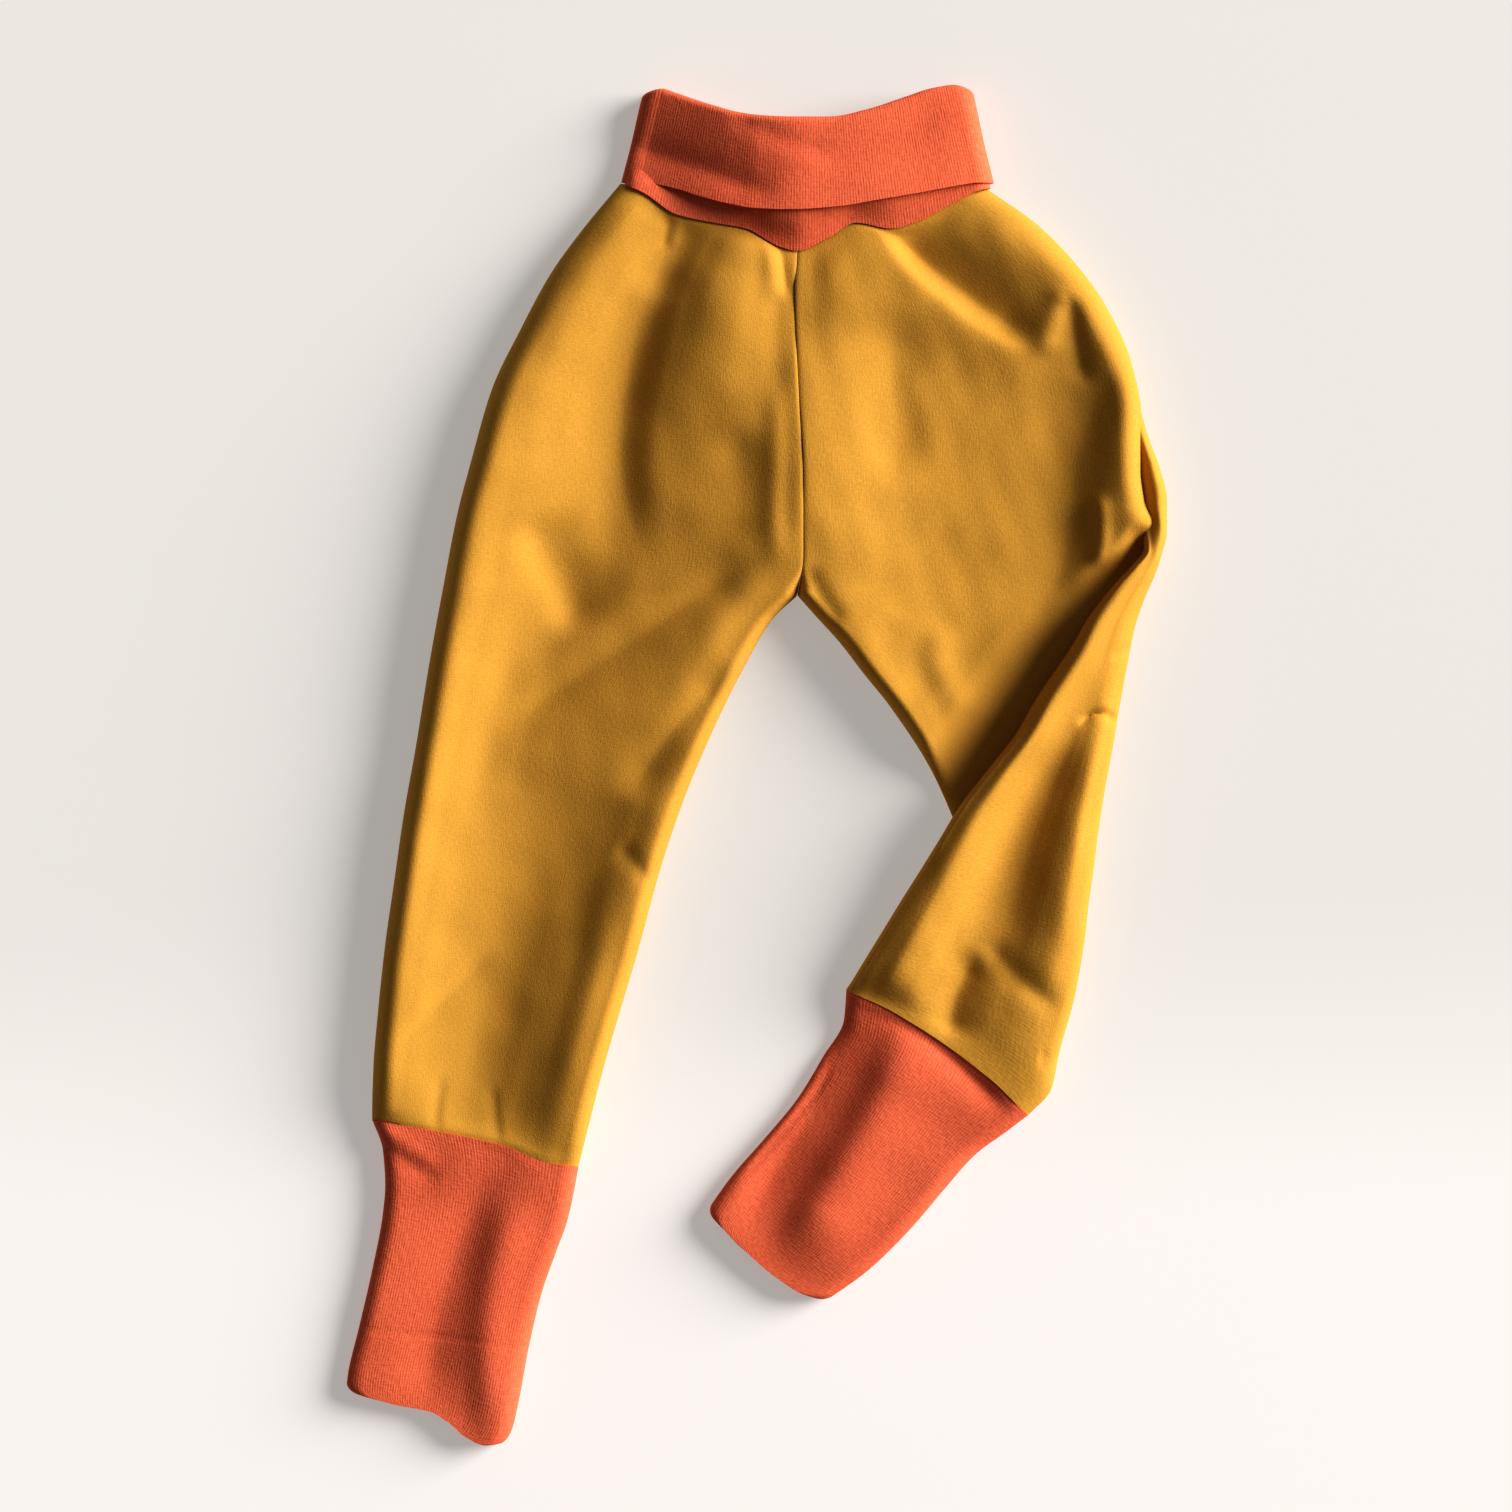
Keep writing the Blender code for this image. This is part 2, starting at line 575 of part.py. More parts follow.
def turned_leg_ring():
    """Closed cuts across the turned-over lower leg, from the knee to the ankle seam."""
    length = TURNED_LEG[-1].along
    along = np.linspace(0, length, round(length / LEG_ROW_STEP) + 1)
    left_x, left_y, right_x, right_y, top, ledge, ledge_z, foot_z = (
        smooth(TURNED_LEG, "along", column, along)[:, None] for column in Turned._fields[1:]
    )
    left, right = np.hstack([left_x, left_y]), np.hstack([right_x, right_y])
    width = np.hypot(*(right - left).T)[:, None]
    left_roll = np.minimum(TURNED_LEFT_ROLL, 0.3 * width)
    right_roll = np.minimum(TURNED_RIGHT_ROLL, 0.3 * width)
    step = np.minimum(ledge, width - right_roll - 1.0)
    turn, shelf = np.linspace(0, np.pi / 2, 4), np.array([1 / 3, 2 / 3])
    foot, foot_start = np.linspace(0, 1, 7)[:-1], step + TURNED_STEP_WIDTH
    over = np.hstack(
        [
            left_roll * (1 - np.cos(turn)),
            left_roll + (step - left_roll) * shelf,
            step,
            foot_start + (width - right_roll - foot_start) * foot,
            width - right_roll * (1 - np.cos(turn[::-1])),
        ]
    )
    on_shelf = np.arange(over.shape[1]) < len(turn) + len(shelf) + 1
    level = np.ones(over.shape[1] - 2 * len(turn))
    rise = np.concatenate([np.sin(turn), level, np.sin(turn[::-1])])
    places, upright = plan_points(left, right, over)
    calm = fade(along, 0, FOLD_FADE) * fade(length - along, 0, FOLD_FADE)
    height = top + fold_height(places[..., 0], places[..., 1], TURNED_FOLDS) * calm[:, None]
    base = np.where(on_shelf, ledge_z, foot_z)
    middle = base + WIDEST_AT * (np.where(on_shelf, height[:, :1], height[:, -1:]) - base)
    middle = np.where(base > 0, np.maximum(middle, base + WIDEST_AT * (height - base)), middle)
    z_over = middle + (height - middle) * rise
    z_below = base + (middle - base) * (1 - rise)
    fading = 1 - fade(length - along, 0, BOW_REACH)
    places = bowed(places, over / width, upright, LEFT_ANKLE, SEAM_GAP / 2, fading)
    top_side = np.concatenate([places, z_over[:, :, None]], axis=2)
    under_side = np.concatenate([places, z_below[:, :, None]], axis=2)
    return np.concatenate([top_side, under_side[:, -2:0:-1]], axis=1)


def loft(name, ring, material):
    """A solid through closed cuts whose top and bottom have as many points each."""
    rows, columns = ring.shape[:2]

    def at(row, column):
        return row * columns + column % columns

    faces = []
    for row in range(rows - 1):
        for column in range(columns):
            faces.append(
                [at(row, column), at(row + 1, column), at(row + 1, column + 1), at(row, column + 1)]
            )
    half = columns // 2
    for row, turn in ((0, 1), (rows - 1, -1)):
        for column in range(half):
            corners = [at(row, column), at(row, column + 1), at(row, -column - 1), at(row, -column)]
            unique = list(dict.fromkeys(corners))
            faces.append(unique[::turn])
    return add_piece(name, ring.reshape(-1, 3), faces, material)


def waistband_middle():
    """The middle of the waistband's wall: rows over the turn, columns round the waist."""
    corner = np.linspace(0, np.pi, BAND_CORNER_STEPS + 1)[1:-1]
    front, back = np.linspace(0, 1, BAND_FRONT_STEPS + 1), np.linspace(1, 0, BAND_BACK_STEPS + 1)
    share = np.concatenate([front, np.ones(len(corner)), back, np.zeros(len(corner))])
    turn = np.concatenate([0 * front, corner, np.pi + 0 * back, np.pi + corner])
    frontness = (1 + np.cos(turn)) / 2
    top_y, hem_y = smooth(BAND, "share", "top_y", share), smooth(BAND, "share", "hem_y", share)
    swell = smooth(BAND, "share", "swell", share) * frontness
    centre_z = BAND_HALF_HEIGHT + FLAP_OFFSET + BAND_WALL / 2

    def ring(y, offset, swelling):
        slants = y[[0, BAND_FRONT_STEPS]]
        slants = (BAND_SLANT_TOP_Y - slants) / (BAND_SLANT_TOP_Y - BAND_SLANT_HEM_Y)
        start = BAND_TOP_LEFT + (BAND_HEM_LEFT - BAND_TOP_LEFT) * slants[0] + centre_z
        end = BAND_TOP_RIGHT + (BAND_HEM_RIGHT - BAND_TOP_RIGHT) * slants[1] - centre_z
        reach = BAND_HALF_HEIGHT + offset
        x = start + (end - start) * share + reach * np.sin(turn)
        z = centre_z + reach * np.cos(turn) + swell * swelling
        return np.stack([x, y, z], axis=1)

    seam_y = hem_y
    for _ in range(4):
        seam_x = ring(seam_y, 0.0, 0.0)[:, 0]
        front_y = smooth(WAIST_SEAM, "x", "y", seam_x)
        back_y = np.interp(seam_x, *BACK_WAIST)
        seam_y = back_y + (front_y - back_y) * frontness + WAIST_GAP / 2
    roll_y = top_y - BAND_ROLL - BAND_WALL / 2
    rows = []
    for part in STRIP_PARTS:
        rows.append(ring(seam_y + (roll_y - seam_y) * part, 0.0, fade(part, 0, 0.35)))
    bulge = 2 * BAND_ROLL * frontness + FLAP_OFFSET * (1 - frontness)
    for angle in np.linspace(0, np.pi, BAND_ROLL_STEPS + 1):
        rows.append(ring(roll_y + BAND_ROLL * np.sin(angle), bulge * (1 - np.cos(angle)) / 2, 1.0))
    for part in FLAP_PARTS:
        offset = bulge + (FLAP_OFFSET - bulge) * fade(part, 0, 0.65)
        rows.append(ring(roll_y + (hem_y - roll_y) * part, offset, 1.0))
    return np.array(rows)


def finish(name, colour, roughness):
    """A plain cloth material."""
    material = bpy.data.materials.new(name)
    material.use_nodes = True
    shader = material.node_tree.nodes["Principled BSDF"]
    shader.inputs["Base Color"].default_value = (*colour, 1)
    shader.inputs["Roughness"].default_value = roughness
    shader.inputs["Metallic"].default_value = 0.0
    return material


def main():
    for old in list(bpy.data.objects):
        bpy.data.objects.remove(old)

    right = leg_outside(RIGHT_LEG, RIGHT_INSEAM, -1, RIGHT_FOLDS, RIGHT_ANKLE, False)
    left = leg_outside(LEFT_LEG, LEFT_INSEAM, 1, LEFT_FOLDS, None, True)
    turned = turned_leg_ring()
    right_cuff = cuff_outside(RIGHT_CUFF, RIGHT_CUFF_FOLDS, RIGHT_ANKLE, RIGHT_HEM)
    left_cuff = cuff_outside(LEFT_CUFF, LEFT_CUFF_FOLDS, LEFT_ANKLE, LEFT_HEM)
    band = waistband_middle()
    band_outside = walled(band, -BAND_WALL / 2, True, False)
    band_inside = walled(band, BAND_WALL / 2, True, False)

    # The origin lies under the middle of the whole garment's outline
    grids = right, left, turned, right_cuff, left_cuff, band_outside
    outline = np.concatenate([grid.reshape(-1, 3) for grid in grids])
    middle = (outline.min(axis=0) + outline.max(axis=0)) / 2
    middle[2] = 0.0

    yellow, orange = (0.80, 0.42, 0.06), (0.83, 0.14, 0.05)
    for name, grid, wall, closed, colour, roughness in (
        ("leg_right", right, LEG_WALL, False, yellow, 0.8),
        ("leg_left", left, LEG_WALL, False, yellow, 0.8),
        ("cuff_right", right_cuff, CUFF_WALL, True, orange, 0.9),
        ("cuff_left", left_cuff, CUFF_WALL, True, orange, 0.9),
    ):
        inside = walled(grid, wall, closed)
        slab(name, grid - middle, inside - middle, closed, finish(name, colour, roughness))
    loft("leg_left_turned", turned - middle, finish("leg_left_turned", yellow, 0.8))
    rib = finish("waistband", orange, 0.9)
    slab("waistband", band_outside - middle, band_inside - middle, True, rib)


main()
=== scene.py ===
# %% [markdown]
# # A toddler's outdoor trousers, laid flat
#
# These are two softshell legs, a rib waistband that is turned down once on the outside,
# and two rib cuffs.  The left lower leg is turned over at the knee, so its back is on top.
# The solids of the frame already have that shape.  Here each of them gets a real cloth
# shell with its folds, weave and ribs.  The frame comes first, because every piece has to
# lie exactly where its solid lies.

# %% Load the frame
from collections import namedtuple

import bpy
import numpy as np
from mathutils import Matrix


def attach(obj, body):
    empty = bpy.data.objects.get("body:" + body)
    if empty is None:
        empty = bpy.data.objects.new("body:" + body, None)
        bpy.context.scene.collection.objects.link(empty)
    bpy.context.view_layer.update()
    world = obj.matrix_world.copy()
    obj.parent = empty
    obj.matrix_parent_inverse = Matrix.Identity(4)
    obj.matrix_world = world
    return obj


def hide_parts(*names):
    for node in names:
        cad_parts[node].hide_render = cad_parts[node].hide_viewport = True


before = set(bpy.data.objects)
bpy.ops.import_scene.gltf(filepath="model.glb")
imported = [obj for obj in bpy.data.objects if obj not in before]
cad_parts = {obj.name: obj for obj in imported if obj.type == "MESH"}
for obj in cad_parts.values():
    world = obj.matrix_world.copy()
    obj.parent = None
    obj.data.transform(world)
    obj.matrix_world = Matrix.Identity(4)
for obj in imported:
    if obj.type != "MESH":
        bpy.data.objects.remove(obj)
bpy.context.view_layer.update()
print("solids:", ", ".join(sorted(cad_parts)))

# %% [markdown]
# ## Sizes
#
# A cutter works in millimetres, so every table below is in millimetres, with +Y towards the
# waist, +X towards the wearer's left and +Z up.  The function that builds the shells turns
# them into Blender's metres and moves them onto the middle of the garment, where the frame
# has its origin.  A gap below 0 is an overlap: the band's edge tucks into the legs' edge.

# %% Units and thicknesses
MM = 0.001
GARMENT_MIDDLE = np.array([0.25, 2.45, 0.0])
LEG_WALL, BAND_WALL, CUFF_WALL = 1.6, 2.0, 2.4
SEAM_GAP, WAIST_GAP, OVERLAP = 0.1, -0.5, 0.3
print(f"cloth: legs {LEG_WALL} mm, band {BAND_WALL} mm, cuffs {CUFF_WALL} mm thick")

# %% [markdown]
# ## Reading a pattern table
#
# A tailor draws a smooth line through a few marks.  A Bezier curve could do the same, but
# it may bulge between two marks.  This curve never does, so a cut edge goes exactly
# through its marks and stays between them.


# %% Curves through marks
def smooth(table, key, column, at):
    """One column of a table against another, read from a curve that never overshoots."""
    knots = np.array([getattr(row, key) for row in table], float)
    values = np.array([getattr(row, column) for row in table], float)
    slopes = np.diff(values) / np.diff(knots)
    before, after = slopes[:-1], slopes[1:]
    rising = before * after > 0
    total = np.where(rising, before + after, 1.0)
    middle = np.where(rising, 2 * before * after / total, 0.0)
    tangents = np.concatenate([slopes[:1], middle, slopes[-1:]])
    at = np.clip(np.asarray(at, float), knots[0], knots[-1])
    cell = np.clip(np.searchsorted(knots, at, side="right") - 1, 0, len(knots) - 2)
    width = np.diff(knots)[cell]
    t = (at - knots[cell]) / width
    start = values[cell] * (1 + 2 * t) * (1 - t) ** 2 + tangents[cell] * width * t * (1 - t) ** 2
    end = values[cell + 1] * t**2 * (3 - 2 * t) - tangents[cell + 1] * width * t**2 * (1 - t)
    return start + end


# %% A soft step
def fade(value, start, end):
    """0 at start, 1 at end, with a soft slope between them."""
    t = np.clip((value - start) / (end - start), 0, 1)
    return t * t * (3 - 2 * t)


# %% [markdown]
# ## Folds
#
# Soft cloth that lies flat keeps a few long swells and a few short creases.  A cloth
# simulation makes folds of its own, in other places than the real ones.  So each fold is
# given one by one: a path over the cloth, how far it stands up or sinks, and how wide it is.
# A lean above 0 makes the right side of the path the gentle one, and a power below 2 makes
# its middle line crisper.

# %% A curve through a path's marks
Fold = namedtuple("Fold", "height half_width lean path power", defaults=[2.0])
PATH_STEPS = 6


def curved(path):
    """More points along a path, on a curve through its marks."""
    marks = np.array(path, float)
    if len(marks) == 2:
        return marks
    padded = np.vstack([2 * marks[0] - marks[1], marks, 2 * marks[-1] - marks[-2]])
    points = []
    for a, b, c, d in zip(padded, padded[1:], padded[2:], padded[3:]):
        for t in np.arange(PATH_STEPS) / PATH_STEPS:
            points.append(
                b
                + 0.5 * t * (c - a)
                + t * t * (a - 2.5 * b + 2 * c - 0.5 * d)
                + t**3 * (1.5 * (b - c) + 0.5 * (d - a))
            )
    return np.vstack([points, marks[-1]])


# %% Distance from a path
def from_path(x, y, path):
    """Distance from a path, above 0 on its left, and how far along the path it is met."""
    best, side, met = np.full(x.shape, np.inf), np.ones(x.shape), np.zeros(x.shape)
    run = 0.0
    for start, end in zip(path[:-1], path[1:]):
        course = end - start
        length = np.hypot(*course)
        share = ((x - start[0]) * course[0] + (y - start[1]) * course[1]) / length**2
        share = np.clip(share, 0, 1)
        away_x, away_y = x - start[0] - share * course[0], y - start[1] - share * course[1]
        away = np.hypot(away_x, away_y)
        nearer = away < best
        turn = np.where(course[0] * away_y - course[1] * away_x > 0, 1.0, -1.0)
        best, side = np.where(nearer, away, best), np.where(nearer, turn, side)
        met = np.where(nearer, run + share * length, met)
        run += length
    return best * side, met / run


# %% Ridges and troughs along paths
END_SHARE = 0.25


def fold_height(x, y, folds):
    """The sum of the ridges and troughs at the places x, y."""
    total = np.zeros(x.shape)
    for fold in folds:
        away, share = from_path(x, y, curved(fold.path))
        width = fold.half_width * (1 - fold.lean * np.tanh(away / fold.half_width))
        ends = fade(share, 0, END_SHARE) * fade(1 - share, 0, END_SHARE)
        total += fold.height * np.exp(-np.abs(away / width) ** fold.power) * ends
    return total


# %% [markdown]
# The large swells come first: each leg stands high along its edges and sags between them.
# A short table gives the heights at ten places across the cloth, for a few cuts along it.
# A lattice could push the cloth up in the same places, but it has no number for each height.

# %% Swells from a table
Form = namedtuple("Form", "along heights")
FORM_AT = np.array([0.06, 0.15, 0.25, 0.35, 0.45, 0.55, 0.65, 0.75, 0.85, 0.94])


def form_height(forms, along, shares):
    """Heights along and across a piece, on soft curves through the table's marks."""
    starts = np.array([form.along for form in forms], float)
    marks = np.array([form.heights for form in forms], float)

    def between(knots, values, at):
        cell = np.clip(np.searchsorted(knots, at) - 1, 0, len(knots) - 2)
        width = knots[cell + 1] - knots[cell]
        t = np.clip((at - knots[cell]) / width, 0, 1)
        slopes = np.gradient(values, knots, axis=1)
        slopes[:, [0, -1]] = 0
        low, high = (np.take_along_axis(values, cell + step, 1) for step in (0, 1))
        leaving, arriving = (np.take_along_axis(slopes, cell + step, 1) for step in (0, 1))
        start = low * (1 + 2 * t) * (1 - t) ** 2 + leaving * width * t * (1 - t) ** 2
        return start + high * t**2 * (3 - 2 * t) - arriving * width * t**2 * (1 - t)

    rows = between(starts, marks.T, np.broadcast_to(along, (len(FORM_AT), len(along)))).T
    return between(FORM_AT, rows, shares)


# %% [markdown]
# No cloth is smooth between its folds.  A sum of slow waves in seeded directions gives the
# slight unevenness of a worn fabric, and gives the same one each time.

# %% Slight unevenness
WAVES_IN_LAYER = 14
SHORTEST, LONGEST = 0.6, 1.6


def unevenness(x, y, seed, layers):
    """Slow waves in many directions, for each layer's wavelength and height."""
    total = np.zeros(x.shape)
    for step, (wavelength, height) in enumerate(layers):
        chance = np.random.default_rng(seed + step)
        layer = np.zeros(x.shape)
        for _ in range(WAVES_IN_LAYER):
            angle, phase = chance.uniform(0, 2 * np.pi, 2)
            length = wavelength * chance.uniform(SHORTEST, LONGEST)
            course = x * np.cos(angle) + y * np.sin(angle)
            layer += np.sin(2 * np.pi * course / length + phase)
        total += layer * height / np.sqrt(WAVES_IN_LAYER)
    return total


# %% [markdown]
# ## A flattened tube
#
# A leg or a cuff is a tube of cloth that has been pressed nearly flat.  A cylinder with a
# lattice could be squashed to it, but its edges would come out too round.  Instead each
# cut across the tube is drawn point by point: a soft roll at each side, the swollen top
# and the flat underside.


# %% Cuts across a tube
Counts = namedtuple("Counts", "roll top under base")
WIDEST_ROLL = 0.42


def tube_profile(width, rolls, counts):
    """Distances from the inner edge over the top and back underneath, and shares of height."""
    turn = np.linspace(0, np.pi / 2, counts.roll + 1)
    under_turn = np.linspace(0, np.pi / 2, counts.under + 1)
    span = np.linspace(0, 1, counts.top + 1)[1:-1]
    base = np.linspace(0, 1, counts.base + 1)[1:-1]
    width = width[:, None]
    inner, outer, under_inner, under_outer = (
        np.minimum(np.broadcast_to(roll, width.shape[0]), WIDEST_ROLL * width[:, 0])[:, None]
        for roll in rolls
    )
    over = [
        inner * (1 - np.cos(turn)),
        inner + (width - inner - outer) * span,
        width - outer * (1 - np.cos(turn[::-1])),
    ]
    below = [
        width - under_outer * (1 - np.cos(under_turn[1:])),
        width - under_outer + (under_outer + under_inner - width) * base,
        under_inner * (1 - np.cos(under_turn[::-1])),
    ]
    rise = np.concatenate([np.sin(turn), np.ones(len(span)), np.sin(turn[::-1])])
    return np.hstack(over), np.hstack(below), rise, 1 - np.sin(under_turn), len(base)


# %% Places along a cut, and the bow of a seam
def places_along(start, end, distances):
    """Places at these distances along straight cuts, and the cuts' uprights."""
    course = end - start
    course = course / np.hypot(*course.T)[:, None]
    places = start[:, None, :] + course[:, None, :] * distances[:, :, None]
    return places, np.stack([-course[:, 1], course[:, 0]], axis=1)


def bowed(places, shares, upright, bow, gap, fading):
    """Moves the cuts near a seam so that the seam follows its bow."""
    away = smooth(bow, "share", "away", shares) + gap
    return places + upright[:, None, :] * (away * fading[:, None])[:, :, None]


# %% The flattened tube
def tube(start, end, height_at, counts, rolls, lows):
    """The outside of a flattened tube: over the top from start to end, then underneath."""
    width = np.hypot(*(end - start).T)
    over, below, rise, sink, base_count = tube_profile(width, rolls, counts)
    places_over, upright = places_along(start, end, over)
    places_below, _ = places_along(start, end, below)
    height = height_at(places_over, over, width)
    inner_low, outer_low, end_low, lift = (low[:, None] for low in lows(height, counts.roll))
    low = np.zeros_like(height)
    low[:, : counts.roll + 1] = inner_low
    low[:, -counts.roll - 1 :] = outer_low
    z_over = low + (height - low) * rise
    z_below = np.hstack(
        [
            lift + (outer_low - lift) * sink[1:],
            np.repeat(lift, base_count, axis=1),
            lift + (end_low - lift) * sink[::-1],
        ]
    )
    places = np.concatenate([places_over, places_below], axis=1)
    shares = np.hstack([over, below]) / width[:, None]
    return places, np.hstack([z_over, z_below]), shares, upright


# %% [markdown]
# ## A shell with a real thickness
#
# Blender's Solidify modifier could thicken a surface.  The cloth needs its cut edges to
# stay on the seam lines, though, so the inner side is made here: the same grid, moved
# inwards, with the two joined round the edges.  Each piece also gets a map of its cloth in
# metres, which the weave and the ribs follow.


# %% The inner side of the cloth
def walled(grid, wall, closed, upright_ends=True, hem_rows=0):
    """The grid moved inwards by a wall.  Its end rows move within the plane of their cut, and
    the rows of a rounded hem move as the straight cloth before them does."""
    down = np.gradient(grid, axis=0)
    if hem_rows:
        down[-hem_rows:] = down[-hem_rows - 1]
    if closed:
        across = (np.roll(grid, -1, axis=1) - np.roll(grid, 1, axis=1)) / 2
    else:
        across = np.gradient(grid, axis=1)
    normal = np.cross(down, across)
    normal /= np.linalg.norm(normal, axis=2, keepdims=True)
    if upright_ends:
        for row in (0, -1):
            run = grid[row, :, :2] - grid[row, 0, :2]
            chord = run[np.argmax(np.hypot(*run.T))]
            through = np.array([-chord[1], chord[0], 0]) / np.hypot(*chord)
            normal[row] -= (normal[row] @ through)[:, None] * through
            normal[row] /= np.linalg.norm(normal[row], axis=1, keepdims=True)
    return grid - normal * wall


# %% A map of the cloth
def cloth_map(grid, closed):
    """Distance round and along the cloth at each point, in metres."""
    across = np.linalg.norm(np.diff(grid, axis=1), axis=2)
    down = np.linalg.norm(np.diff(grid, axis=0), axis=2)
    round_it = np.concatenate([[0], np.cumsum(across.mean(axis=0))])
    along_it = np.concatenate([[0], np.cumsum(down.mean(axis=1))])
    if closed:
        gap = np.linalg.norm(grid[:, 0] - grid[:, -1], axis=1).mean()
        round_it = np.append(round_it, round_it[-1] + gap)
    return round_it * MM, along_it * MM


# %% One closed shell
SHARP_ANGLE = 60


def cloth_piece(name, grid, wall, closed, upright_ends=True, hem_rows=0):
    """A closed shell of cloth from the grid of its outside."""
    grids = grid, walled(grid, wall, closed, upright_ends, hem_rows)
    rows, columns = grid.shape[:2]
    cells = columns if closed else columns - 1
    row, column = np.meshgrid(np.arange(rows - 1), np.arange(cells), indexing="ij")
    row, column = row.ravel(), column.ravel()
    corner_rows = np.stack([row, row + 1, row + 1, row], axis=1)
    corner_columns = np.stack([column, column, column + 1, column + 1], axis=1)
    size = rows * columns
    outside = corner_rows * columns + corner_columns % columns
    faces = [outside, outside[:, ::-1] + size]
    round_it, along_it = cloth_map(grid, closed)
    spots = np.stack([round_it[corner_columns], along_it[corner_rows]], axis=2)
    maps = [spots, spots[:, ::-1]]

    def edge(first, second, spot, turn):
        strip = np.stack([first, second, second + size, first + size], axis=1)
        faces.append(strip[:, ::turn])
        maps.append(np.repeat(spot[:, None, :], 4, axis=1))

    step = np.arange(cells)
    for end, turn in ((0, 1), (rows - 1, -1)):
        spot = np.stack([round_it[step], np.full(cells, along_it[end])], axis=1)
        edge(end * columns + step, end * columns + (step + 1) % columns, spot, turn)
    if not closed:
        step = np.arange(rows - 1)
        for end, turn in ((0, -1), (columns - 1, 1)):
            spot = np.stack([np.full(rows - 1, round_it[end]), along_it[step]], axis=1)
            edge(step * columns + end, (step + 1) * columns + end, spot, turn)

    faces, maps = np.concatenate(faces), np.concatenate(maps)
    points = (np.concatenate([part.reshape(-1, 3) for part in grids]) - GARMENT_MIDDLE) * MM
    mesh = bpy.data.meshes.new(name)
    mesh.vertices.add(len(points))
    mesh.vertices.foreach_set("co", points.ravel())
    mesh.loops.add(faces.size)
    mesh.loops.foreach_set("vertex_index", faces.ravel())
    mesh.polygons.add(len(faces))
    mesh.polygons.foreach_set("loop_start", np.arange(len(faces)) * 4)
    mesh.update(calc_edges=True)
    mesh.uv_layers.new(name="cloth").data.foreach_set("uv", maps.ravel())
    mesh.shade_smooth()
    mesh.set_sharp_from_angle(angle=np.radians(SHARP_ANGLE))
    mesh.validate()
    piece = bpy.data.objects.new(name, mesh)
    bpy.context.scene.collection.objects.link(piece)
    area = sum(face.area for face in mesh.polygons) / 2
    lowest, highest = points[:, 2].min() / MM, points[:, 2].max() / MM
    print(f"{name}: {len(faces) * 2} triangles, {area:.4f} square metres of cloth")
    print(f"{name}: from {lowest:.1f} to {highest:.1f} mm above the surface")
    return piece


# %% [markdown]
# ## The pattern's cut edges
#
# The legs meet at the centre seam and part at the crotch, and each leg's inseam goes on
# from there.  The waist seam waves up and down, because the cloth below it puckers.  These
# lines could be drawn by hand as curves.  As tables they are read from both sides of a seam,
# so the two pieces that meet there always fit.

# %% Cut edges
Point = namedtuple("Point", "y x")
CENTRE_SEAM = [
    Point(74, 18.0),
    Point(92, 20.5),
    Point(124, 20.5),
    Point(162, 18.5),
    Point(200, 17.0),
    Point(222, 18.0),
]
CROTCH_Y = 74.0
RIGHT_INSEAM = [
    Point(-171, -76),
    Point(-128, -65),
    Point(-77, -50),
    Point(-44, -41),
    Point(-17, -32),
    Point(10, -21),
    Point(43, -5),
    Point(64, 7.5),
    Point(74, 18.0),
]
LEFT_INSEAM = [
    Point(-29, 88),
    Point(-2, 76),
    Point(26, 58),
    Point(41, 46),
    Point(54, 36),
    Point(65, 26),
    Point(74, 18.0),
]
Wave = namedtuple("Wave", "x y")
WAIST_SEAM = [
    Wave(-64, 251.0),
    Wave(-58, 250.5),
    Wave(-48, 246.5),
    Wave(-34, 237.5),
    Wave(-18, 234.0),
    Wave(-4, 231.5),
    Wave(10, 224.0),
    Wave(18, 222.0),
    Wave(30, 227.0),
    Wave(43, 234.0),
    Wave(58, 231.5),
    Wave(72, 235.5),
    Wave(84, 242.0),
    Wave(99, 248.5),
    Wave(104, 249.0),
]
BACK_WAIST_X, BACK_WAIST_Y = (-58.0, 18.0, 99.0), (250.5, 222.0, 248.5)
Bow = namedtuple("Bow", "share away")
RIGHT_ANKLE = [Bow(0, 0), Bow(0.3, 1.5), Bow(0.6, 2.0), Bow(0.85, -1.0), Bow(1, 0)]
LEFT_ANKLE = [Bow(0, 0), Bow(0.25, 4.0), Bow(0.5, 5.0), Bow(0.75, 4.0), Bow(1, 0)]
RIGHT_HEM = [
    Bow(0, 0.5),
    Bow(0.25, 0.5),
    Bow(0.5, 1.5),
    Bow(0.65, -1.0),
    Bow(0.78, -5.0),
    Bow(0.9, -6.5),
    Bow(1, -4.5),
]
LEFT_HEM = [Bow(0, 0), Bow(0.3, -2.0), Bow(0.6, -3.2), Bow(0.85, -2.5), Bow(1, 0)]
BOW_REACH = 30.0
print(f"centre seam: {CENTRE_SEAM[-1].y - CROTCH_Y:.0f} mm long")

# %% [markdown]
# ## Tables for the legs
#
# Each leg is described by cuts from the waist down: where a cut meets the inner and the
# outer edge.  The lower leg that is turned over has cuts of its own, from the knee to the
# ankle.  Its left part lies on a ledge, the thigh, so each cut also says how wide and how
# high that ledge is.

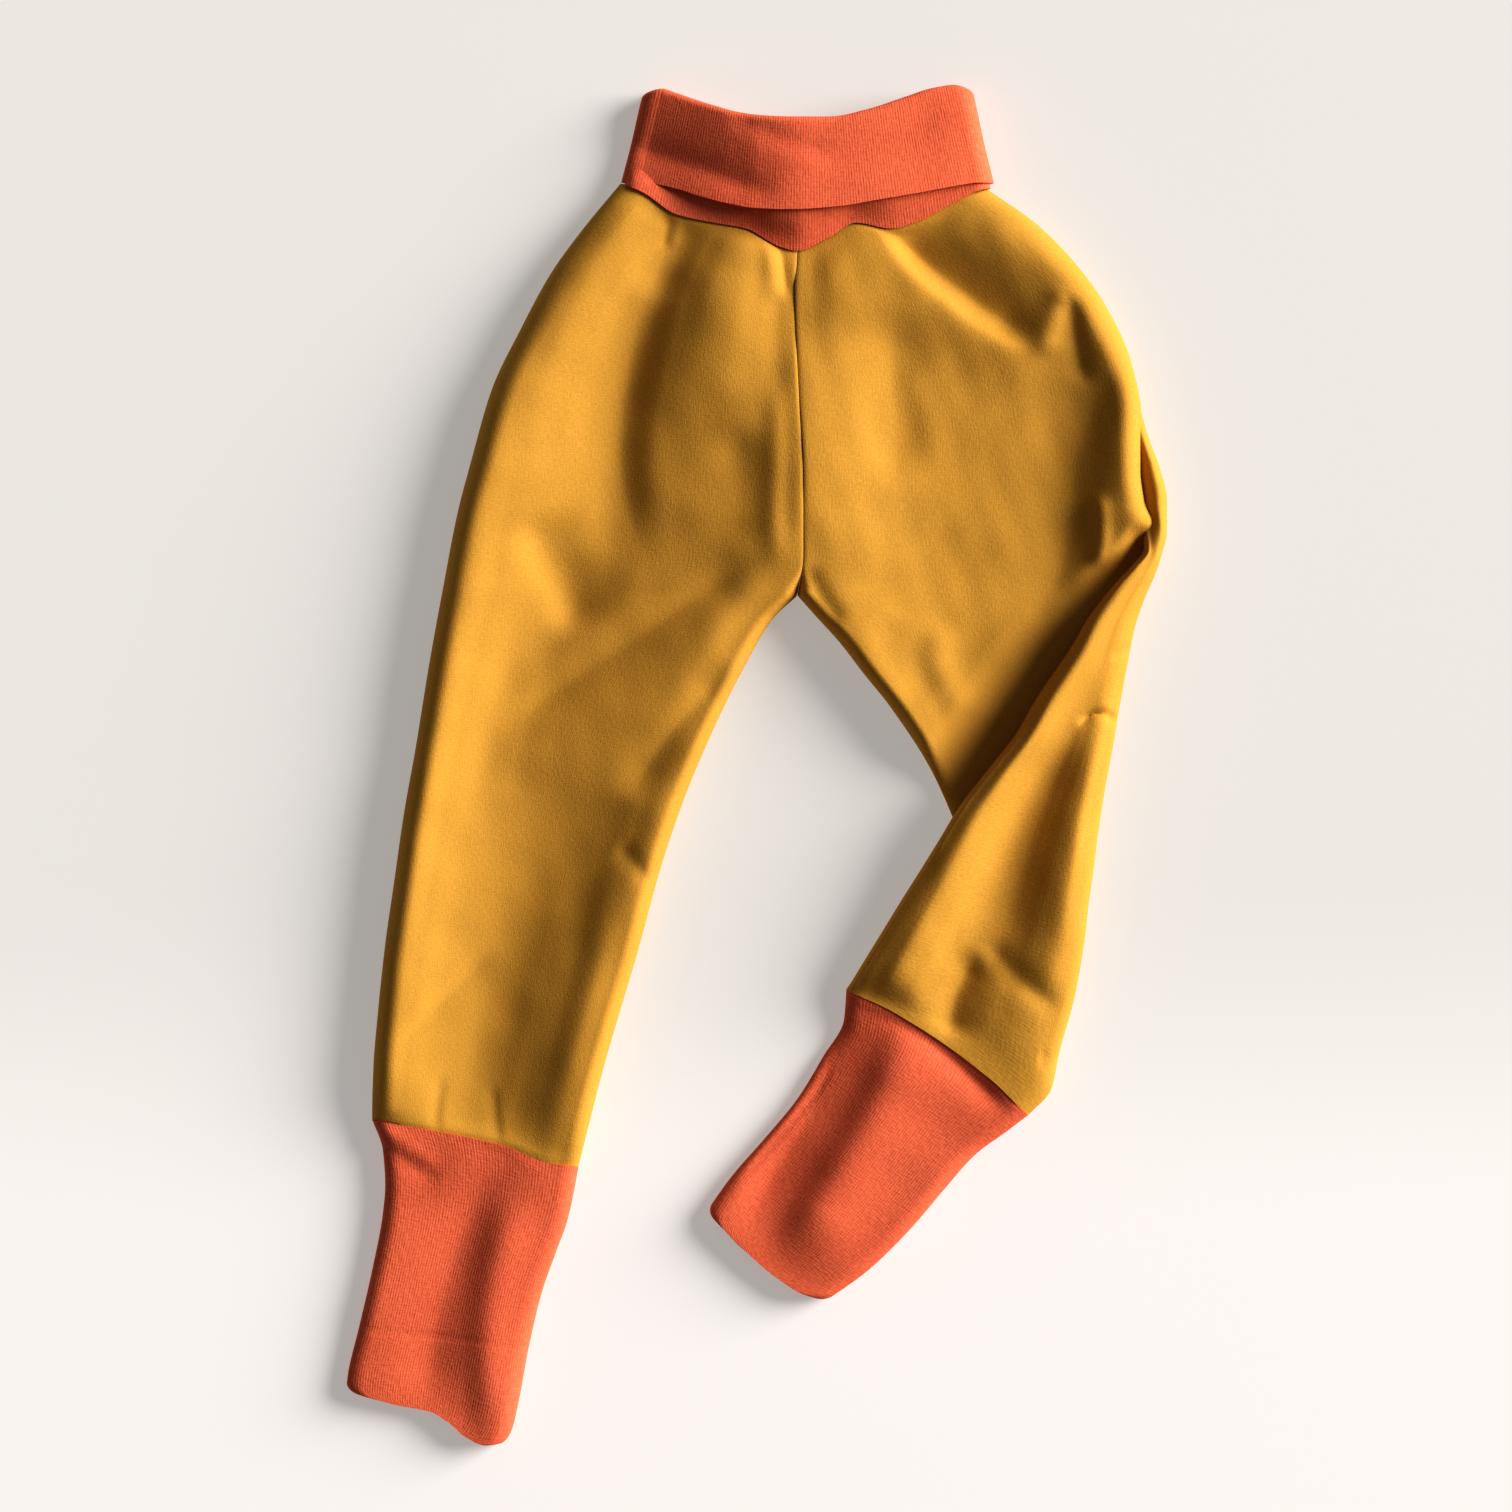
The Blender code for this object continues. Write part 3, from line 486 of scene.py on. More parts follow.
# %% Cuts across the legs
Section = namedtuple("Section", "along inner_y outer_x outer_y")
RIGHT_LEG = [
    Section(0, 222, -58.0, 250.5),
    Section(20, 206, -75, 230),
    Section(38, 193, -88, 212),
    Section(60, 175, -101, 188),
    Section(85, 154, -113, 163),
    Section(115, 128, -122, 132),
    Section(140, 104, -128, 109),
    Section(172, 74, -134, 78),
    Section(200, 48, -140, 45),
    Section(238, 10, -146, 8),
    Section(268, -17, -151, -20),
    Section(296, -44, -155, -48),
    Section(326, -77, -159, -76),
    Section(354, -105, -162, -104),
    Section(378, -132, -164, -128),
    Section(402, -162, -164.5, -146),
    Section(409, -171, -164.5, -151),
]
LEFT_LEG = [
    Section(0, 222, 99.0, 248.5),
    Section(20, 206, 121, 233),
    Section(38, 193, 136, 218),
    Section(60, 175, 150, 199),
    Section(85, 154, 161, 175),
    Section(110, 128, 165.5, 152),
    Section(135, 104, 165.5, 128),
    Section(150, 91, 167.5, 114),
    Section(160, 82, 171.8, 105),
    Section(168, 76, 170.5, 98),
    Section(176, 70, 166, 91),
    Section(192, 56, 158, 73),
    Section(210, 41, 149, 51),
    Section(230, 24, 139, 31),
    Section(250, 6, 128, 11),
    Section(268, -10, 116, -7),
    Section(284, -24, 102, -22),
]
Turned = namedtuple("Turned", "along left_x left_y right_x right_y ledge ledge_z")
PRESSED_HEIGHT, LAYER_GAP = 5.8, 0.35
LEDGE = PRESSED_HEIGHT + LAYER_GAP
TURNED_LEG = [
    Turned(0, 156.0, 158, 164.5, 157, 2.0, 0.0),
    Turned(14, 156.0, 143, 168.8, 142, 4.0, 0.0),
    Turned(28, 156.5, 129, 173.8, 128, 5.0, 0.0),
    Turned(41, 158.5, 116, 176.6, 115, 5.0, 0.0),
    Turned(52, 165.5, 104.5, 176.6, 102, 5.0, 3.0),
    Turned(62, 166.5, 94.0, 174.3, 91.5, 6.0, LEDGE),
    Turned(70, 161.0, 86.5, 171.5, 83.0, 8.0, LEDGE),
    Turned(80, 153.5, 78.5, 167.5, 74, 11.0, LEDGE),
    Turned(96, 143, 65, 163, 61, 14.5, LEDGE),
    Turned(112, 134, 50, 159.5, 44, 18.5, LEDGE),
    Turned(134, 121, 31, 156, 25, 22.0, LEDGE),
    Turned(154, 111, 14, 153, 7, 24.0, LEDGE),
    Turned(172, 100, 0, 150, -9, 25.0, LEDGE),
    Turned(193, 87, -17, 147, -28, 26.0, LEDGE),
    Turned(210, 78.5, -31, 145, -44, 26.0, LEDGE),
    Turned(224, 71.5, -42.5, 143, -58, 26.0, 0.0),
    Turned(240, 63, -56, 141, -75, 26.0, 0.0),
    Turned(262, 52, -74, 137, -98, 26.0, 0.0),
    Turned(280, 44, -87, 130.5, -122, 26.0, 0.0),
    Turned(287, 41, -92, 127, -138, 26.0, 0.0),
    Turned(292, 39, -95, 117, -149, 26.0, 0.0),
]
print("cuts:", len(RIGHT_LEG), "right leg,", len(LEFT_LEG), "thigh,", len(TURNED_LEG), "lower leg")

# %% [markdown]
# The heights of the swells are in millimetres above the surface, ten in each row: from the
# inner to the outer edge of a leg, and from left to right across the turned lower leg.
# Sculpting would be quicker, but a table can be corrected one number at a time.

# %% Heights across the legs
RIGHT_FORM = [
    Form(0, [13.6] * 10),
    Form(8, [15.0, 16.3, 17.0, 16.3, 13.8, 11.6, 12.6, 15.3, 16.8, 16.0]),
    Form(22, [15.8, 17.8, 19.2, 18.3, 14.8, 11.0, 12.6, 16.5, 18.5, 17.5]),
    Form(58, [16.2, 17.4, 19.0, 17.8, 13.8, 9.3, 11.3, 15.5, 19.3, 19.3]),
    Form(100, [18.2, 17.2, 15.6, 14.2, 11.6, 7.8, 9.3, 13.5, 18.3, 20.5]),
    Form(145, [18.7, 17.5, 13.9, 11.6, 9.8, 7.2, 8.7, 12.0, 16.5, 20.4]),
    Form(185, [16.5, 17.8, 15.8, 13.2, 10.3, 7.8, 6.8, 9.0, 15.0, 20.0]),
    Form(226, [18.8, 18.3, 16.0, 13.9, 12.0, 10.0, 8.3, 9.0, 14.5, 19.5]),
    Form(284, [19.3, 16.6, 12.4, 9.0, 7.5, 7.6, 9.0, 11.5, 15.5, 19.4]),
    Form(340, [17.5, 18.2, 15.4, 11.0, 7.8, 7.0, 8.5, 11.3, 15.8, 18.4]),
    Form(384, [17.3, 17.2, 14.3, 10.0, 7.3, 7.0, 8.8, 11.5, 15.0, 17.4]),
    Form(400, [14.5, 14.5, 12.8, 10.3, 9.0, 8.8, 9.8, 11.5, 13.5, 14.5]),
    Form(409, [11.5, 12.5, 12.5, 12.0, 11.5, 11.3, 11.5, 12.0, 12.5, 12.0]),
]
LEFT_FORM = [
    Form(0, [13.6] * 10),
    Form(20, [16.0, 17.2, 16.5, 15.0, 14.3, 14.3, 15.0, 16.5, 17.5, 16.5]),
    Form(60, [16.2, 16.6, 15.2, 13.4, 12.2, 12.0, 12.6, 13.6, 15.0, 17.2]),
    Form(95, [17.6, 17.2, 14.4, 11.8, 10.4, 10.4, 11.0, 11.6, 14.3, 17.8]),
    Form(135, [18.0, 17.2, 14.0, 11.4, 10.0, 9.9, 10.4, 11.5, 15.7, 19.3]),
    Form(160, [17.8, 17.2, 14.2, 11.6, 10.2, 10.0, 10.4, 11.5, 15.0, 18.0]),
    Form(192, [19.0, 17.8, 14.6, 12.0, 10.8, 10.6, 10.8, 11.0, 12.0, 12.0]),
    Form(230, [18.3, 17.0, 14.8, 13.2, 12.3, 12.0, 12.0, 12.0, 12.0, 12.0]),
    Form(268, [14.5] * 10),
    Form(284, [12.5] * 10),
]
TURNED_FORM = [
    Form(0, [5.0, 5.5, 6.0, 6.5, 7.0, 7.0, 7.0, 7.0, 7.0, 7.0]),
    Form(14, [6.0, 6.5, 7.0, 7.5, 8.0, 8.8, 9.8, 10.8, 11.0, 10.5]),
    Form(28, [6.5, 7.0, 7.5, 8.0, 9.0, 10.3, 12.0, 13.2, 13.8, 13.0]),
    Form(41, [6.5, 7.0, 7.8, 8.6, 9.8, 11.5, 13.3, 14.5, 14.8, 14.0]),
    Form(54, [10.5, 11.5, 12.5, 13.5, 14.5, 15.3, 15.8, 15.8, 15.3, 14.5]),
    Form(70, [18.5, 20.0, 20.5, 20.5, 20.0, 19.5, 19.0, 18.0, 17.0, 15.5]),
    Form(96, [25.0, 26.0, 25.5, 24.5, 23.0, 21.5, 20.5, 19.0, 17.5, 16.0]),
    Form(134, [26.5, 28.0, 27.0, 24.3, 21.8, 20.0, 19.0, 18.5, 18.0, 16.5]),
    Form(172, [26.0, 26.7, 23.0, 18.2, 15.3, 15.0, 17.0, 19.0, 19.5, 17.5]),
    Form(210, [24.0, 25.0, 21.2, 15.8, 12.6, 13.0, 16.0, 18.8, 20.0, 18.3]),
    Form(240, [22.0, 24.0, 21.0, 15.8, 12.3, 12.0, 14.2, 17.2, 19.2, 18.3]),
    Form(262, [19.5, 22.3, 19.8, 15.0, 12.0, 12.5, 14.5, 16.5, 17.0, 15.5]),
    Form(280, [16.5, 19.0, 17.2, 13.8, 12.2, 12.8, 14.5, 15.5, 15.0, 13.5]),
    Form(292, [12.5] * 10),
]
print("rows of heights:", len(RIGHT_FORM), len(LEFT_FORM), len(TURNED_FORM))

# %% [markdown]
# The smaller folds were read off where the real cloth turns bright or dark: the
# light comes from the right, so a slope that faces right is bright, and one that faces
# left is dark.

# %% Folds of the legs
RIGHT_FOLDS = [
    Fold(-1.5, 9, 0.2, [(-30, 258), (-33, 240), (-38, 224), (-46, 200)], 1.5),
    Fold(-2.5, 12, 0.4, [(-47, 205), (-54, 170), (-58, 138), (-54, 110), (-46, 86)], 1.5),
    Fold(1.3, 4.5, 0.0, [(4, 240), (6, 224), (8, 211), (9, 196)]),
    Fold(-1.2, 2.6, 0.0, [(9, 236), (11, 222), (12.5, 210), (14, 200)], 1.5),
    Fold(-1.5, 9, 0.0, [(-10, 150), (-7, 130), (-5, 110), (-8, 90)]),
    Fold(1.2, 5, 0.0, [(9, 170), (9, 140), (8, 112), (9, 84)]),
    Fold(1.6, 6, 0.0, [(17, 192), (18, 160), (19, 125), (18, 84)]),
    Fold(-3.2, 11, -0.2, [(-96, 112), (-90, 94), (-80, 74), (-72, 56)]),
    Fold(-3.0, 9, -0.2, [(12, 96), (-20, 76), (-50, 56), (-84, 34), (-112, 14)], 1.6),
    Fold(-3.0, 9, 0.0, [(-8, 44), (-28, 24), (-44, 4), (-54, -16)], 1.6),
    Fold(-1.2, 4.5, 0.0, [(-60, -32), (-54, -38), (-49, -44), (-45, -52)], 1.7),
    Fold(-1.5, 8, 0.0, [(-66, -30), (-74, -60), (-80, -92), (-90, -125), (-100, -165)]),
    Fold(-1.4, 5, -0.3, [(-110, -78), (-124, -90), (-140, -106), (-154, -122)], 1.6),
    Fold(-0.7, 3.2, 0.2, [(-134, -130), (-137, -146), (-138, -165)]),
    Fold(-0.6, 3.0, 0.2, [(-113, -134), (-112, -150), (-110, -170)]),
    Fold(-0.9, 2.4, 0.0, [(-37, 244), (-38, 234), (-40, 224)], 1.5),
    Fold(0.6, 2.6, 0.0, [(-32, 244), (-34, 234), (-36, 224)]),
]
LEFT_FOLDS = [
    Fold(2.2, 15, 0.0, [(20, 192), (21, 160), (22, 125), (22, 84)]),
    Fold(2.4, 9, 0.5, [(43, 244), (52, 229), (67, 212), (87, 195), (110, 180), (132, 176)], 1.6),
    Fold(-5.6, 10, -0.4, [(54, 238), (66, 226), (80, 212), (96, 199), (112, 188), (122, 178)], 1.7),
    Fold(-3.0, 14, 0.25, [(60, 200), (59, 182), (59, 162), (60, 142), (60, 118)], 1.7),
    Fold(1.8, 6, 0.0, [(134, 208), (129, 197), (125, 187), (124, 174)]),
    Fold(-2.2, 5, 0.2, [(133, 206), (136, 191), (139, 174), (141, 162)], 1.7),
    Fold(
        -4.0, 14, 0.3, [(158, 180), (147, 158), (139, 138), (136, 112), (130, 82), (112, 50)], 1.7
    ),
    Fold(2.0, 4, 0.0, [(146, 120), (148, 108), (148, 96), (145, 84)]),
    Fold(1.5, 6, 0.0, [(156, 182), (160, 162), (160, 142), (162, 122), (168, 104)]),
    Fold(-2.0, 5, 0.0, [(20, 88), (25, 78), (31, 68), (38, 60)]),
    Fold(-1.5, 8, 0.0, [(62, 66), (58, 54), (66, 40), (76, 26)]),
    Fold(1.5, 7, 0.0, [(82, 64), (78, 48), (84, 34), (92, 20)]),
]
TURNED_FOLDS = [
    Fold(-2.6, 1.7, 0.0, [(137, 18), (143, 22.4), (149, 23.2), (155, 20), (160, 15)], 1.6),
    Fold(-1.4, 1.5, 0.0, [(152, 46), (158, 50.5), (164, 50)], 1.6),
    Fold(-2.0, 11, 0.3, [(134, 12), (125, -18), (116, -46), (111, -66), (110, -84)], 1.7),
    Fold(-2.2, 6, 0.0, [(96, -72), (108, -85), (120, -96), (133, -106)], 1.7),
    Fold(-4.0, 8, 0.0, [(97, -78), (90, -90), (84, -104), (80, -124)], 1.7),
    Fold(-1.4, 1.8, 0.0, [(120, -124), (127, -126), (134, -124)], 1.6),
]
print("folds on the legs:", len(RIGHT_FOLDS) + len(LEFT_FOLDS) + len(TURNED_FOLDS))

# %% [markdown]
# ## The right leg and the left thigh
#
# One function makes both legs, because they are cut alike.  Mirroring one leg would copy its
# folds as well, and no two legs fall alike.  Above the crotch the front cloth ends high, at
# the centre seam, and the back cloth lies below it.  From the crotch down the inseam joins
# the two.  The left leg ends at the knee.  Where the lower leg lies across the thigh, the
# thigh is pressed flat: the function measures how far each point is from the lower leg's
# edge, and lets the cloth rise again to the left of it.

# %% How the legs lie
LegSide = namedtuple("LegSide", "name direction inseam ankle pressed counts roll sink seed")
RIGHT_COUNTS = Counts(roll=8, top=104, under=5, base=24)
LEFT_COUNTS = Counts(roll=8, top=150, under=5, base=24)
RIGHT_SIDE = LegSide("right_leg", -1, RIGHT_INSEAM, RIGHT_ANKLE, False, RIGHT_COUNTS, 1.8, 0.6, 11)
LEFT_SIDE = LegSide("left_thigh", 1, LEFT_INSEAM, None, True, LEFT_COUNTS, 2.4, 0.6, 21)
LEG_ROW_STEP = 1.6
LEG_WAVES = [(55.0, 0.35), (22.0, 0.1)]
PARTS_FROM, PARTED_AT = CROTCH_Y - 1.0, CROTCH_Y + 12.0
KNEE_ALONG = 62
TURNED_EDGE = np.array(
    [(row.left_x, row.left_y) for row in TURNED_LEG if row.along >= KNEE_ALONG], float
)
PRESSED_EDGE, PRESSED_REACH = 8.0, 30.0
KNEE_REACH, KNEE_SHARE = 12.0, 0.3
SIDE_HEIGHT, TOP_ROLL, UNDER_ROLL = 6.5, 6.5, 6.0
SIDE_ROLL, HIP_ROLL, HIP_REACH = 9.0, 12.0, 180.0
WAIST_REACH, FOLD_FADE, BACK_LIFT = 50.0, 5.0, 2.3
TUCK_REACH, TUCK_DEPTH = 2.0, 0.7
print(f"pressed thigh: {len(TURNED_EDGE)} marks along the edge of the lower leg")


# %% One leg
def leg(leg_side, sections, forms, folds):
    """One leg as a shell of cloth, from the waist down and round from front to back."""
    name, side, inseam, ankle, pressed, counts, seam_roll, seam_sink, seed = leg_side
    length = sections[-1].along
    along = np.linspace(0, length, round(length / LEG_ROW_STEP) + 1)
    inner_y = smooth(sections, "along", "inner_y", along)
    inner_x = np.where(
        inner_y > CROTCH_Y,
        smooth(CENTRE_SEAM, "y", "x", inner_y),
        smooth(inseam, "y", "x", inner_y),
    )
    inner = np.stack([inner_x + side * SEAM_GAP / 2, inner_y], axis=1)
    outer = np.stack(
        [smooth(sections, "along", "outer_x", along), smooth(sections, "along", "outer_y", along)],
        axis=1,
    )
    open_front = fade(inner_y, PARTS_FROM, PARTED_AT)
    calm = fade(along, 0, FOLD_FADE)
    tuck = 1 - fade(along, 0, TUCK_REACH)
    if ankle:
        calm = calm * fade(length - along, 0, FOLD_FADE)
        tuck = tuck + 1 - fade(length - along, 0, TUCK_REACH)

    def height_at(places, distances, width):
        x, y = places[..., 0], places[..., 1]
        height = form_height(forms, along, distances / width[:, None])
        waves = unevenness(x, y, seed, LEG_WAVES)
        height += (fold_height(x, y, folds) + waves) * calm[:, None]
        height -= TUCK_DEPTH * tuck[:, None]
        if pressed:
            left_of, share = from_path(x, y, TURNED_EDGE)
            below_knee = fade(share, 0, KNEE_SHARE)
            reach = KNEE_REACH + (PRESSED_REACH - KNEE_REACH) * below_knee
            start = PRESSED_EDGE * below_knee
            free = fade((-left_of - start) / (reach - start), 0, 1)
            height = PRESSED_HEIGHT + (height - PRESSED_HEIGHT) * free
        return height

    def lows(height, roll_steps):
        inner_high, outer_high = height[:, roll_steps], height[:, -roll_steps - 1]
        seam_low = np.minimum(SIDE_HEIGHT, inner_high / 2)
        seam_high = inner_high - seam_sink
        inner_low = seam_low + SEAM_GAP / 2 + (seam_high - seam_low) * open_front
        end_low = (seam_low - SEAM_GAP / 2) * (1 - open_front)
        lift = BACK_LIFT * (1 - fade(along, 0, FOLD_FADE))
        return inner_low, np.minimum(SIDE_HEIGHT, outer_high / 2), np.maximum(end_low, lift), lift

    inner_roll = TOP_ROLL + (seam_roll - TOP_ROLL) * open_front
    outer_roll = SIDE_ROLL + (HIP_ROLL - SIDE_ROLL) * (1 - fade(along, 0, HIP_REACH))
    places, heights, shares, upright = tube(
        inner, outer, height_at, counts, (inner_roll, outer_roll, UNDER_ROLL, UNDER_ROLL), lows
    )
    over = np.arange(places.shape[1]) < 2 * counts.roll + counts.top + 1
    wave = smooth(WAIST_SEAM, "x", "y", places[0, :, 0]) - places[0, :, 1]
    waist = np.where(over, wave, 0) - WAIST_GAP / 2
    places[:, :, 1] += waist * (1 - fade(along, 0, WAIST_REACH))[:, None]
    if ankle:
        fading = 1 - fade(length - along, 0, BOW_REACH)
        places = bowed(places, 1 - shares, side * upright, ankle, -OVERLAP, fading)
    grid = np.concatenate([places, heights[:, :, None]], axis=2)
    return cloth_piece(name, grid if side > 0 else grid[:, ::-1], LEG_WALL, False)


# %% The right leg and the left thigh
right_leg = leg(RIGHT_SIDE, RIGHT_LEG, RIGHT_FORM, RIGHT_FOLDS)
left_thigh = leg(LEFT_SIDE, LEFT_LEG, LEFT_FORM, LEFT_FOLDS)

# %% [markdown]
# ## The turned-over lower leg
#
# It is the same tube, but it lies on a step: its left part rests on the thigh, and its
# right part goes down to the surface, round the crease at the knee.  The real cloth goes on
# under it.  One closed shell stands for all its layers, because only the top one shows.

# %% How the lower leg lies
TURNED_COLUMNS, TURNED_ROLL_STEPS, TURNED_ROW_STEP = 84, 14, 1.5
TURNED_LEFT_ROLL, TURNED_RIGHT_ROLL, TURNED_WIDEST_ROLL = 8.0, 10.0, 0.3
TURNED_WAVES = [(50.0, 0.35), (20.0, 0.1)]
LEDGE_MARGIN, LEDGE_DROPS, LEDGE_DOWN = 1.0, -0.5, 2.5
WIDEST_AT, LEFT_HALF_TO, LEFT_HALF_FROM = 0.45, 0.6, 0.3
LIP_AT, LIP_WIDTH, LIP_HEIGHT = 1.5, 1.1, 1.2
print(f"lower leg: {TURNED_LEG[-1].along} mm long, {LAYER_GAP} mm above the pressed thigh")


# %% A lower leg that is turned over
def turned_leg(name, seed):
    """The lower leg as a closed shell, from the knee to the ankle seam."""
    length = TURNED_LEG[-1].along
    along = np.linspace(0, length, round(length / TURNED_ROW_STEP) + 1)
    left_x, left_y, right_x, right_y, ledge, ledge_z = (
        smooth(TURNED_LEG, "along", column, along)[:, None] for column in Turned._fields[1:]
    )
    left, right = np.hstack([left_x, left_y]), np.hstack([right_x, right_y])
    width = np.hypot(*(right - left).T)[:, None]
    left_roll = np.minimum(TURNED_LEFT_ROLL, TURNED_WIDEST_ROLL * width)
    right_roll = np.minimum(TURNED_RIGHT_ROLL, TURNED_WIDEST_ROLL * width)
    turn = np.linspace(0, np.pi / 2, TURNED_ROLL_STEPS + 1)
    span = np.linspace(0, 1, TURNED_COLUMNS)[1:-1]
    over = np.hstack(
        [
            left_roll * (1 - np.cos(turn)),
            left_roll + (width - left_roll - right_roll) * span,
            width - right_roll * (1 - np.cos(turn[::-1])),
        ]
    )
    rise = np.concatenate([np.sin(turn), np.ones(len(span)), np.sin(turn[::-1])])
    places, upright = places_along(left, right, over)
    calm = fade(along, 0, FOLD_FADE) * fade(length - along, 0, FOLD_FADE)
    x, y = places[..., 0], places[..., 1]
    waves = unevenness(x, y, seed, TURNED_WAVES)
    height = form_height(TURNED_FORM, along, over / width)
    height += (fold_height(x, y, TURNED_FOLDS) + waves) * calm[:, None]
    step = np.minimum(ledge, width - right_roll - LEDGE_MARGIN)
    base = ledge_z - ledge_z * fade(over, step + LEDGE_DROPS, step + LEDGE_DOWN)
    on_left = fade(over, width * LEFT_HALF_TO, width * LEFT_HALF_FROM)
    middle = base + WIDEST_AT * (height[:, -1:] * (1 - on_left) + height[:, :1] * on_left - base)
    middle = np.where(base > 0, np.maximum(middle, base + WIDEST_AT * (height - base)), middle)
    z_over = middle + (height - middle) * rise
    z_over += LIP_HEIGHT * np.exp(-(((over - LIP_AT) / LIP_WIDTH) ** 2)) * calm[:, None]
    z_below = base + (middle - base) * (1 - rise)
    fading = 1 - fade(length - along, 0, BOW_REACH)
    places = bowed(places, over / width, upright, LEFT_ANKLE, -OVERLAP, fading)
    top_side = np.concatenate([places, z_over[:, :, None]], axis=2)
    under_side = np.concatenate([places, z_below[:, :, None]], axis=2)
    return cloth_piece(
        name, np.concatenate([top_side, under_side[:, -2:0:-1]], axis=1), LEG_WALL, True
    )


# %% The left lower leg
left_lower_leg = turned_leg("left_lower_leg", 31)

# %% [markdown]
# ## The cuffs
#
# Long rib cuffs lie flatter than the legs and are a little narrower at the hem.  They are
# the same flattened tube, closed all round and open at both ends.  The corners of the hem
# are round.  A Bevel modifier rounds edges, but not the outline of a hem, so the last rows
# are pulled in along a quarter circle instead.

# %% Cuts and folds of the cuffs
Cuff = namedtuple("Cuff", "along left_x left_y right_x right_y top")
RIGHT_CUFF = [
    Cuff(0, -164.5, -151, -76, -171, 12.0),
    Cuff(13, -160, -164, -78, -182, 11.2),
    Cuff(27, -159, -179, -81, -195, 10.5),
    Cuff(40, -160, -191, -85, -206, 10.2),
    Cuff(64, -164.5, -215, -92, -226, 10.0),
    Cuff(88, -170, -239, -97, -247, 9.8),
    Cuff(109, -175, -260, -101, -267, 9.4),
    Cuff(120, -176, -268, -105, -287, 9.0),
]
LEFT_CUFF = [
    Cuff(0, 39, -95, 117, -149, 12.0),
    Cuff(12, 38, -108, 108, -156, 11.5),
    Cuff(30, 29, -124, 94.5, -166, 10.6),
    Cuff(52, 18, -142, 81, -181, 10.2),
    Cuff(74, 4, -159, 66.5, -198, 10.0),
    Cuff(96, -10, -175, 48, -216, 9.5),
    Cuff(116, -21.5, -191, 28.5, -230, 9.0),
]
RIGHT_CUFF_FOLDS = [
    Fold(
        -2.9,
        13,
        0.1,
        [(-113, -168), (-122, -192), (-130, -214), (-136, -236), (-140, -260), (-142, -285)],
        1.7,
    ),
    Fold(
        2.4,
        10,
        -0.2,
        [(-100, -180), (-107, -200), (-112, -220), (-114, -240), (-113, -260), (-110, -290)],
    ),
    Fold(0.8, 4, 0.0, [(-166, -152), (-157, -158), (-146, -166), (-134, -174)]),
    Fold(-1.0, 4.5, 0.0, [(-164, -159), (-155, -165), (-144, -172), (-134, -178)], 1.6),
    Fold(-0.35, 0.9, 0.0, [(-190, -234), (-165, -241), (-120, -246), (-80, -252)]),
]
LEFT_CUFF_FOLDS = [
    Fold(
        -4.0, 12, -0.3, [(48, -88), (36, -112), (30, -132), (22, -152), (8, -176), (-6, -204)], 1.7
    ),
    Fold(4.3, 14, -0.4, [(67, -108), (59, -134), (46, -160), (30, -187), (14, -215)]),
    Fold(-2.6, 5, 0.0, [(52, -100), (62, -109), (74, -120), (90, -134), (110, -152)], 1.6),
    Fold(1.5, 3.5, 0.0, [(40, -92), (54, -101), (66, -109), (80, -119)]),
    Fold(-0.8, 1.5, 0.0, [(36, -122), (27, -138), (14, -154), (2, -168), (-8, -180)]),
]
CUFF_COUNTS = Counts(roll=8, top=76, under=6, base=34)
CUFF_WAVES = [(40.0, 0.25)]
CUFF_ROW_STEP, HEM_CORNER, HEM_ROWS = 1.6, 5.0, 8
CUFF_TOP_ROLL, CUFF_UNDER_ROLL = 7.0, 5.0
print(f"cuffs: {RIGHT_CUFF[-1].along} and {LEFT_CUFF[-1].along} mm long")


# %% One cuff
def cuff(name, sections, folds, ankle, hem, seed):
    """A cuff as a closed shell, from the ankle seam to the hem."""
    length = sections[-1].along
    round_off = np.linspace(0, np.pi / 2, HEM_ROWS + 1)
    plain = length - HEM_CORNER
    along = np.linspace(0, plain, round(plain / CUFF_ROW_STEP) + 1)
    along = np.concatenate([along, plain + HEM_CORNER * np.sin(round_off[1:])])
    left_x, left_y, right_x, right_y, top = (
        smooth(sections, "along", column, along) for column in Cuff._fields[1:]
    )
    calm = fade(along, 0, FOLD_FADE)

    def height_at(places, distances, width):
        x, y = places[..., 0], places[..., 1]
        waves = unevenness(x, y, seed, CUFF_WAVES)
        return top[:, None] + (fold_height(x, y, folds) + waves) * calm[:, None]

    def lows(height, roll_steps):
        low = np.minimum(height[:, 0], height[:, -1]) / 2
        return low, low, low, np.zeros_like(low)

    left, right = np.stack([left_x, left_y], axis=1), np.stack([right_x, right_y], axis=1)
    course = (right - left) / np.hypot(*(right - left).T)[:, None]
    pull = np.zeros(len(along))
    pull[-HEM_ROWS:] = HEM_CORNER * (1 - np.cos(round_off[1:]))
    left, right = left + course * pull[:, None], right - course * pull[:, None]
    rolls = (CUFF_TOP_ROLL, CUFF_TOP_ROLL, CUFF_UNDER_ROLL, CUFF_UNDER_ROLL)
    places, heights, shares, upright = tube(left, right, height_at, CUFF_COUNTS, rolls, lows)
    fading = 1 - fade(along, 0, BOW_REACH)
    places = bowed(places, shares, upright, ankle, 0.0, fading)
    fading = 1 - fade(length - along, 0, BOW_REACH)
    places = bowed(places, shares, upright, hem, 0.0, fading)
    grid = np.concatenate([places, heights[:, :, None]], axis=2)
    return cloth_piece(name, grid[:, :-1], CUFF_WALL, True, hem_rows=HEM_ROWS + 1)


# %% Both cuffs
right_cuff = cuff("right_cuff", RIGHT_CUFF, RIGHT_CUFF_FOLDS, RIGHT_ANKLE, RIGHT_HEM, 41)
left_cuff = cuff("left_cuff", LEFT_CUFF, LEFT_CUFF_FOLDS, LEFT_ANKLE, LEFT_HEM, 51)

